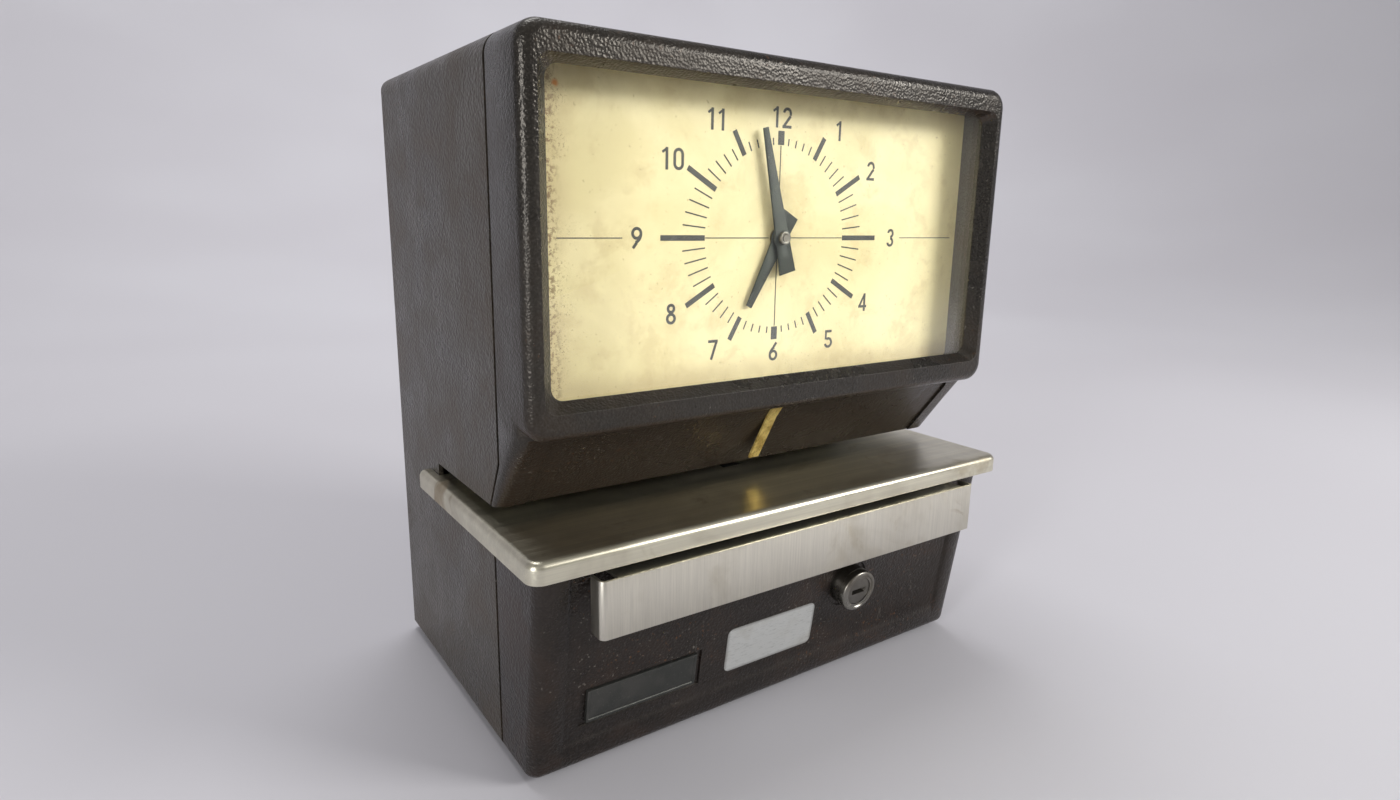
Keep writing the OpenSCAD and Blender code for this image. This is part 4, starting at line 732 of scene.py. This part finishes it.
def hammered_paint(name, dark, pale, smudge, rough, dent, depth, specks=0.5, under=None, painted_top_light=0.0):
    """Hammered enamel: dents, cloudy colour and sheen, brown smudges, rust specks, chips and dust.

    The under colour tints what faces down lighter brown, a painted reflection of the table below, and the
    last argument gives the share of a paler tint on what faces up, painted light from above.
    """
    f = Finish(name, coat=0.08, coat_rough=0.25, specular=0.40, tint=(1.0, 0.92, 0.82))
    clouds = f.noise(13, 5, 0.65, warp=0.5)
    patches = f.noise(34, 4, 0.65, warp=0.4)
    fine = f.noise(1 / (0.9 * MM), 2, 0.6)
    colour = f.mix(f.fit(clouds, 0.30, 0.70), dark, pale)
    colour = f.mix(f.both(f.fit(patches, 0.44, 0.70), 0.75), colour, smudge)
    # painted reflection: faces that look down, such as the ring's lower roll and the slanted face, are
    # tinted lighter brown as the table below lights them
    if under:
        colour = f.mix(f.fit(f.facing("Z"), -0.25, -0.5, 0, 0.8), colour, under)
    colour = f.mix(f.fit(fine, 0.40, 0.68, 0, 0.55), colour, tuple(1.9 * c for c in pale))
    rust = f.both(f.fit(f.noise(480, 2, 0.7), 0.64, 0.70), f.fit(f.noise(20, 2), 0.50, 0.62))
    colour = f.mix(f.both(rust, specks), colour, RUST)
    scratch = f.noise(1, 2, 0.6, at=f.stretched((900, 160, 60), turn=(0.3, 0.5, 0.2)))
    scratch = f.both(f.fit(scratch, 0.70, 0.74), f.fit(f.noise(11, 2), 0.52, 0.60))
    colour = f.mix(f.both(scratch, 0.5 * specks), colour, DUST_AND_TOP_LIGHT)
    dust = f.both(f.fit(f.noise(720, 1, 0.5), 0.69, 0.74), f.fit(f.noise(30, 3), 0.45, 0.6))
    colour = f.mix(f.both(dust, 0.8 * specks), colour, DUST_AND_TOP_LIGHT)
    # painted light: faces that look up get a paler tint, standing in for light from above, as on the
    # cover's lower slope
    if painted_top_light:
        top_light_mask = f.both(f.fit(f.facing("Z"), -0.02, 0.20), f.fit(f.noise(70, 3, 0.6), 0.25, 0.6))
        colour = f.mix(f.both(top_light_mask, painted_top_light), colour, tuple(0.5 * c for c in DUST_AND_TOP_LIGHT))
    dents = f.cells(1 / dent, soft=0.6)
    ripple = f.noise(0.45 / dent, 2, 0.5)
    normal = f.bump(f.sums("ADD", f.both(dents, 0.8), f.both(ripple, 0.7)), depth)
    normal = f.bump(fine, 0.3 * depth, 0.7, after=normal)
    sheen = f.sums("ADD", f.fit(patches, 0.35, 0.65, rough, rough + 0.12),
                   f.fit(clouds, 0.3, 0.7, -0.03, 0.04))
    return f.wear(colour=colour, rough=sheen, normal=normal)


def brushed_steel(name, tint, streaks, rough, stains, stain_size, bands, relief):
    """Brushed sheet: fine streaks and broader bands one way, faint rubs and brown stains.

    stains gives the share of stain from place to place, bands the share of the broad bands.
    """
    f = Finish(name, metal=1.0)
    lines = f.noise(1, 3, 0.7, at=f.stretched(streaks))
    broad = f.noise(1, 2, 0.6, at=f.stretched(tuple(0.12 * s for s in streaks)))
    rubs = f.noise(26, 4, 0.6, warp=0.6)
    colour = f.mix(f.fit(lines, 0.3, 0.7), tuple(0.86 * c for c in tint), tint)
    colour = f.mix(f.fit(broad, 0.35, 0.65, 0, bands), colour, tuple(0.66 * c for c in tint))
    colour = f.mix(f.fit(rubs, 0.46, 0.68, 0, 0.45), colour, (0.44, 0.40, 0.31))
    stain = f.fit(f.noise(stain_size, 4, 0.65, warp=0.8), 0.58, 0.70)
    colour = f.mix(f.both(stain, stains(f)), colour, (0.26, 0.18, 0.10))
    roughness = f.sums("ADD", f.fit(lines, 0.3, 0.7, rough - 0.05, rough + 0.07), f.both(stain, 0.16))
    normal = f.bump(lines, 0.035 * MM, relief)
    normal = f.bump(rubs, 0.25 * MM, 0.3, after=normal)
    return f.wear(colour=colour, rough=roughness, normal=normal)


def turned_metal(name, tint, rough, tarnish, depth=0.02 * MM):
    """Small machined or plated parts: cloudy tarnish and fine tool marks."""
    f = Finish(name, metal=1.0)
    clouds = f.noise(60, 4, 0.6)
    marks = f.noise(1, 2, 0.6, at=f.stretched((400, 3000, 400)))
    colour = f.mix(f.fit(clouds, 0.4, 0.7), tint, tarnish)
    colour = f.mix(f.fit(marks, 0.35, 0.7, 0, 0.25), colour, tuple(0.7 * c for c in tint))
    return f.wear(colour=colour, rough=f.fit(clouds, 0.35, 0.7, rough, rough + 0.15),
                  normal=f.bump(marks, depth, 0.6))


def moulded(name, base, rough, specular=0.5):
    """Moulded plastic or rubber: faint mottling, dust and a fine skin."""
    f = Finish(name, specular=specular)
    clouds = f.noise(45, 4, 0.6)
    skin = f.noise(1500, 2, 0.6)
    colour = f.mix(f.fit(clouds, 0.35, 0.7), base, tuple(min(1, 1.35 * c + 0.01) for c in base))
    colour = f.mix(f.both(f.fit(f.noise(500, 2), 0.64, 0.74), 0.4), colour, DUST_AND_TOP_LIGHT)
    return f.wear(colour=colour, rough=f.fit(clouds, 0.3, 0.7, rough, rough + 0.15),
                  normal=f.bump(skin, 0.03 * MM, 0.5))


def dial_enamel():
    """Aged cream dial: cloudy yellowing, foxing along the left, browned at its foot, with painted shade
    along its top.
    """
    f = Finish("dial_enamel")
    clouds = f.noise(16, 5, 0.6, warp=0.4)
    blots = f.noise(60, 4, 0.65, warp=0.3)
    colour = f.mix(f.fit(clouds, 0.35, 0.66), (0.85, 0.75, 0.44), (0.72, 0.625, 0.335))
    colour = f.mix(f.fit(blots, 0.5, 0.70, 0, 0.45), colour, (0.58, 0.46, 0.22))
    # the camera sees the dial from here on, past the window's left edge
    seen_x = -WINDOW_X + 7 * MM
    left = f.fit(f.along("X"), seen_x, seen_x + 14 * MM, 1, 0)
    low = f.fit(f.along("Z"), WINDOW_LOW - 2 * MM, WINDOW_LOW + 9 * MM, 1, 0)
    # painted shade: the band along the top stands in for the shadow of the ring; the left and foot bands
    # are real browning, and the mask built from them also brings a little foxing to the top
    high = f.fit(f.along("Z"), WINDOW_HIGH - 9 * MM, WINDOW_HIGH + 3 * MM)
    edge = f.sums("MAXIMUM", f.sums("MAXIMUM", left, low), high)
    foxing = f.both(f.fit(f.noise(1100, 2, 0.7), 0.58, 0.66), f.fit(f.noise(90, 3), 0.44, 0.58))
    # brown tint along the edges: browning at the left and foot, painted shade at the top
    browning_and_top_shade = f.both(f.fit(f.noise(34, 3), 0.3, 0.6), edge)
    colour = f.mix(f.both(browning_and_top_shade, 0.55), colour, (0.46, 0.35, 0.17))
    rim = f.fit(f.along("X"), seen_x, seen_x + 6 * MM, 1, 0)
    rash = f.fit(f.noise(420, 3, 0.7), 0.47, 0.60)
    foxed = f.both(foxing, f.sums("MAXIMUM", left, f.both(edge, 0.25)))
    foxed = f.sums("MAXIMUM", foxed, f.both(rash, rim))
    colour = f.mix(f.both(foxed, 0.85), colour, (0.20, 0.11, 0.045))
    spot = f.fit(f.away_from((-0.1035, plate_low.y, WINDOW_HIGH - 4 * MM)), 0.4 * MM, 1.9 * MM, 1, 0)
    colour = f.mix(f.both(spot, f.fit(f.noise(300, 2), 0.4, 0.55)), colour, (0.60, 0.22, 0.03))
    specks = f.both(f.fit(f.noise(900, 1), 0.72, 0.78), 0.5)
    colour = f.mix(specks, colour, (0.35, 0.25, 0.11))
    return f.wear(colour=colour, rough=f.fit(clouds, 0.3, 0.7, 0.45, 0.62),
                  normal=f.bump(f.noise(700, 3), 0.03 * MM, 0.4))


def dial_ink():
    f = Finish("dial_ink")
    worn = f.noise(420, 3, 0.7)
    return f.wear(colour=f.mix(f.fit(worn, 0.58, 0.8, 0, 0.35), (0.045, 0.047, 0.041), (0.32, 0.29, 0.19)),
                  rough=f.fit(worn, 0.3, 0.7, 0.45, 0.6), normal=f.bump(worn, 0.02 * MM, 0.4))


def hand_paint():
    f = Finish("hand_paint", specular=0.3)
    clouds = f.noise(120, 3, 0.6)
    chips = f.fit(f.noise(900, 2, 0.6), 0.68, 0.76)
    colour = f.mix(f.fit(clouds, 0.35, 0.7), (0.030, 0.036, 0.031), (0.058, 0.066, 0.056))
    colour = f.mix(f.both(chips, 0.5), colour, (0.20, 0.19, 0.16))
    return f.wear(colour=colour, rough=f.fit(clouds, 0.3, 0.7, 0.48, 0.62),
                  normal=f.bump(f.noise(1400, 2), 0.02 * MM, 0.5))


def window_glass():
    """Clear pane that lets the lamps through, with faint smears."""
    f = Finish("window_glass", glass=1.0, ior=1.45, colour=(0.97, 0.98, 0.96))
    smears = f.noise(30, 4, 0.7, at=f.stretched((1, 1, 3)))
    f.wear(rough=f.fit(smears, 0.5, 0.8, 0.0, 0.05))
    rays = f.tree.nodes.new("ShaderNodeLightPath")
    clear = f.tree.nodes.new("ShaderNodeBsdfTransparent")
    mix = f.tree.nodes.new("ShaderNodeMixShader")
    f.feed(mix.inputs[0], rays.outputs["Is Shadow Ray"])
    f.tree.links.new(f.shader.outputs[0], mix.inputs[1])
    f.tree.links.new(clear.outputs[0], mix.inputs[2])
    f.tree.links.new(mix.outputs[0], f.tree.nodes["Material Output"].inputs[0])
    return f.material


def pointer_brass():
    f = Finish("pointer_brass", metal=0.4)
    clouds = f.noise(180, 3, 0.6)
    lines = f.noise(1, 2, 0.6, at=f.stretched((2600, 300, 300)))
    colour = f.mix(f.fit(clouds, 0.4, 0.68), (0.86, 0.66, 0.22), (0.50, 0.33, 0.08))
    return f.wear(colour=colour, rough=f.fit(lines, 0.3, 0.7, 0.25, 0.42),
                  normal=f.bump(lines, 0.03 * MM, 0.6))


def cast_plate():
    """Dark cast plate with fine bright grit all over."""
    f = Finish("name_metal", metal=0.85)
    grit = f.noise(1100, 3, 0.7)
    clouds = f.noise(90, 3)
    colour = f.mix(f.fit(clouds, 0.35, 0.7), (0.075, 0.078, 0.073), (0.10, 0.10, 0.093))
    colour = f.mix(f.fit(grit, 0.55, 0.75, 0, 0.5), colour, (0.20, 0.20, 0.18))
    return f.wear(colour=colour, rough=f.fit(grit, 0.3, 0.7, 0.36, 0.55),
                  normal=f.bump(grit, 0.09 * MM, 0.7))


def foil():
    """Bare satin foil label with scuffs and a grey rim of dirt."""
    f = Finish("foil", metal=0.35)
    scuffs = f.noise(1, 3, 0.7, at=f.stretched((300, 300, 1500), turn=(0, 0.5, 0)))
    clouds = f.noise(80, 3)
    colour = f.mix(f.fit(scuffs, 0.5, 0.75), (0.56, 0.57, 0.56), (0.40, 0.41, 0.40))
    colour = f.mix(f.fit(clouds, 0.5, 0.75, 0, 0.35), colour, (0.34, 0.32, 0.27))
    middle, half = (label_low + label_high) / 2, (label_high - label_low) / 2
    rim_wide = 1.6 * MM
    across = f.sums("ABSOLUTE", f.sums("SUBTRACT", f.along("X"), middle.x))
    up = f.sums("ABSOLUTE", f.sums("SUBTRACT", f.along("Z"), middle.z))
    rim = f.sums("MAXIMUM", f.fit(across, half.x - rim_wide, half.x), f.fit(up, half.z - rim_wide, half.z))
    colour = f.mix(f.both(rim, 0.4), colour, GRIME)
    return f.wear(colour=colour, rough=f.fit(clouds, 0.3, 0.7, 0.34, 0.5),
                  normal=f.bump(scuffs, 0.02 * MM, 0.5))


def woven_ribbon():
    f = Finish("ribbon_fabric", rough=0.9, sheen=0.2)
    weave = f.cells(1800, soft=0.3)
    ink = f.noise(120, 3)
    return f.wear(colour=f.mix(f.fit(ink, 0.35, 0.7), (0.03, 0.022, 0.045), (0.07, 0.05, 0.085)),
                  normal=f.bump(weave, 0.06 * MM))


def bar_stains(f):
    """Brown stains at the bar's right end."""
    return f.fit(f.along("X"), 0.088, 0.103, 0.12, 1.0)


def table_stains(f):
    """Dirt on the table's left margin, beside the case."""
    return f.fit(f.along("X"), -SIDE, 10 * MM - SIDE, 0.6, 0.25)


def make_finishes():
    """One material for each slot of the record."""
    return {
        "case_paint": hammered_paint(
            "case_paint", dark=(0.009, 0.0082, 0.0072), pale=(0.038, 0.033, 0.026),
            smudge=(0.045, 0.032, 0.021), rough=0.28, dent=1.4 * MM, depth=0.40 * MM, specks=0.45),
        # the last argument paints light from above on the cover's upward faces
        "cover_paint": hammered_paint(
            "cover_paint", dark=(0.006, 0.0048, 0.0046), pale=(0.014, 0.011, 0.0098),
            smudge=(0.028, 0.016, 0.011), rough=0.24, dent=1.2 * MM, depth=0.30 * MM, specks=0.35,
            painted_top_light=0.4),
        # the under colour paints the table's reflected light on the bezel's downward faces
        "bezel_paint": hammered_paint(
            "bezel_paint", dark=(0.008, 0.0076, 0.007), pale=(0.020, 0.018, 0.0155),
            smudge=(0.022, 0.015, 0.010), rough=0.24, dent=1.0 * MM, depth=0.22 * MM, specks=0.25,
            under=(0.034, 0.021, 0.013)),
        "glass": window_glass(),
        "dark_frame": hammered_paint(
            "dark_frame", dark=(0.05, 0.046, 0.04), pale=(0.08, 0.074, 0.062), smudge=(0.06, 0.045, 0.03),
            rough=0.4, dent=2.5 * MM, depth=0.05 * MM, specks=0.3),
        "dial_enamel": dial_enamel(),
        "dial_ink": dial_ink(),
        "hand_paint": hand_paint(),
        "pointer_brass": pointer_brass(),
        "gear_brass": turned_metal("gear_brass", (0.74, 0.56, 0.24), 0.26, (0.46, 0.31, 0.12)),
        "table_steel": brushed_steel(
            "table_steel", tint=(0.78, 0.745, 0.60), streaks=(22, 1500, 1500), rough=0.33,
            stains=table_stains, stain_size=30, bands=0.4, relief=0.4),
        "bar_steel": brushed_steel(
            "bar_steel", tint=(0.72, 0.69, 0.60), streaks=(2600, 2600, 45), rough=0.34,
            stains=bar_stains, stain_size=40, bands=0.12, relief=0.5),
        "bright_steel": turned_metal("bright_steel", (0.27, 0.26, 0.235), 0.36, (0.17, 0.16, 0.135)),
        "zinc_steel": turned_metal("zinc_steel", (0.55, 0.55, 0.52), 0.38, (0.38, 0.35, 0.28)),
        "lock_nickel": turned_metal("lock_nickel", (0.20, 0.19, 0.17), 0.3, (0.14, 0.13, 0.11), 0.04 * MM),
        "lock_dark": turned_metal("lock_dark", (0.30, 0.29, 0.26), 0.26, (0.16, 0.14, 0.11), 0.04 * MM),
        "name_metal": cast_plate(),
        "foil": foil(),
        "type_metal": turned_metal("type_metal", (0.38, 0.36, 0.32), 0.4, (0.14, 0.13, 0.13)),
        "spool_plastic": moulded("spool_plastic", (0.045, 0.045, 0.05), 0.35),
        "ribbon_fabric": woven_ribbon(),
        "motor_steel": turned_metal("motor_steel", (0.38, 0.39, 0.40), 0.35, (0.26, 0.25, 0.23)),
        "nylon": moulded("nylon", (0.66, 0.62, 0.50), 0.45),
        "black_plastic": moulded("black_plastic", (0.022, 0.022, 0.022), 0.4),
        "rubber": moulded("rubber", (0.018, 0.018, 0.018), 0.7, 0.3),
    }


# Studio

def make_stage():
    """Pale round floor that curves up into a backdrop behind the object and is open in front of it."""
    radius, height, curve = 5.0, 6.0, 3.6
    leave_edit_mode()
    bpy.ops.mesh.primitive_cylinder_add(vertices=128, radius=radius, depth=height,
                                        location=(0, 0, height / 2))
    stage = begin_shaping("studio_floor")
    round_edges(stage, lambda a, b: max(a.z, b.z) < TINY, curve, 20)
    ahead = Vector((0.57, 0.82, 0))
    slice_at(-ahead, ahead)
    choose_faces(stage, lambda at, out: out.z > 0.9 and at.z > height / 2
                 or at.z > TINY and at.dot(ahead) < -1)
    bpy.ops.mesh.delete(type="FACE")
    bpy.ops.mesh.select_all(action="SELECT")
    bpy.ops.mesh.flip_normals()
    leave_edit_mode()
    stage.select_set(True)
    bpy.ops.object.shade_smooth()
    f = Finish("studio_paper", rough=0.85, specular=0.2)
    f.wear(colour=f.mix(f.fit(f.noise(0.9, 2), 0.3, 0.7), (0.625, 0.615, 0.66), (0.67, 0.665, 0.71)))
    stage.data.materials.clear()
    stage.data.materials.append(f.material)


def add_lamp(name, place, aim, size, watts, tint=(1, 1, 1)):
    lamp = bpy.data.objects.new(name, bpy.data.lights.new(name, "AREA"))
    bpy.context.scene.collection.objects.link(lamp)
    lamp.data.shape = "RECTANGLE"
    lamp.data.size, lamp.data.size_y = size
    lamp.data.energy = watts
    lamp.data.color = tint
    lamp.location = place
    lamp.rotation_euler = (Vector(aim) - Vector(place)).to_track_quat("-Z", "Y").to_euler()


def light_studio():
    world = bpy.data.worlds.new("studio_air")
    bpy.context.scene.world = world
    world.use_nodes = True
    background = world.node_tree.nodes["Background"]
    background.inputs["Color"].default_value = (0.83, 0.80, 0.77, 1)
    background.inputs["Strength"].default_value = 0.34
    middle = (0, 0, 0.15)
    add_lamp("key_box", (1.05, -1.25, 0.84), middle, (0.6, 0.40), 17, (1.0, 0.985, 0.95))
    add_lamp("left_box", (-1.5, -0.72, 0.42), middle, (0.28, 0.76), 11)
    add_lamp("top_box", (0.0, 0.6, 2.2), middle, (1.2, 0.9), 17)
    add_lamp("backdrop_box", (0.6, 1.2, 3.2), (1.7, 4.4, 1.6), (2.4, 2.0), 74)


def place_camera():
    """The photograph's viewpoint: from the left and a little above, close to the object."""
    camera = bpy.data.objects.new("camera", bpy.data.cameras.new("camera"))
    bpy.context.scene.collection.objects.link(camera)
    camera.location = CAMERA_PLACE
    camera.rotation_euler = [math.radians(angle) for angle in CAMERA_TURN]
    camera.data.sensor_width = CAMERA_SENSOR
    camera.data.lens = CAMERA_LENS
    camera.data.clip_start = 0.01
    camera.data.clip_end = 50
    bpy.context.scene.camera = camera


def dress_nodes(finishes):
    """Gives every CAD node the finish of its slot."""
    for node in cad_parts.values():
        for slot in node.material_slots:
            slot.material = finishes[slot.material.name]


finishes = make_finishes()
dress_nodes(finishes)
make_bezel(finishes["bezel_paint"])
make_cover(finishes["cover_paint"])
make_table(finishes["table_steel"])
make_lock_ring(finishes["lock_dark"])
make_name_plate(finishes["name_metal"])
for node, name, body, slot, radius in (
    ("print_bar", "push_bar", "bar", "bar_steel", 0.3 * MM),
    ("pointer_strip", "brass_pointer", "root", "pointer_brass", 0.15 * MM),
    ("lock_plug", "lock_plug_face", "lock", "lock_nickel", 0.25 * MM),
    ("minute_hand", "long_hand", "minute", "hand_paint", 0.15 * MM),
    ("hour_hand", "short_hand", "hour", "hand_paint", 0.15 * MM),
    ("hand_nut", "hand_cap_nut", "minute", "bright_steel", 0.3 * MM),
    ("rubber_feet", "soft_feet", "root", "rubber", 0.8 * MM),
    ("inlet_bushing", "cord_bushing", "root", "black_plastic", 0.5 * MM),
):
    put_in_place(softened_copy(node, name, radius), body, slot, finishes[slot], node)
make_springs(finishes["bright_steel"])
bpy.context.scene.view_settings.view_transform = "Standard"
make_stage()
light_studio()
place_camera()
leave_edit_mode()
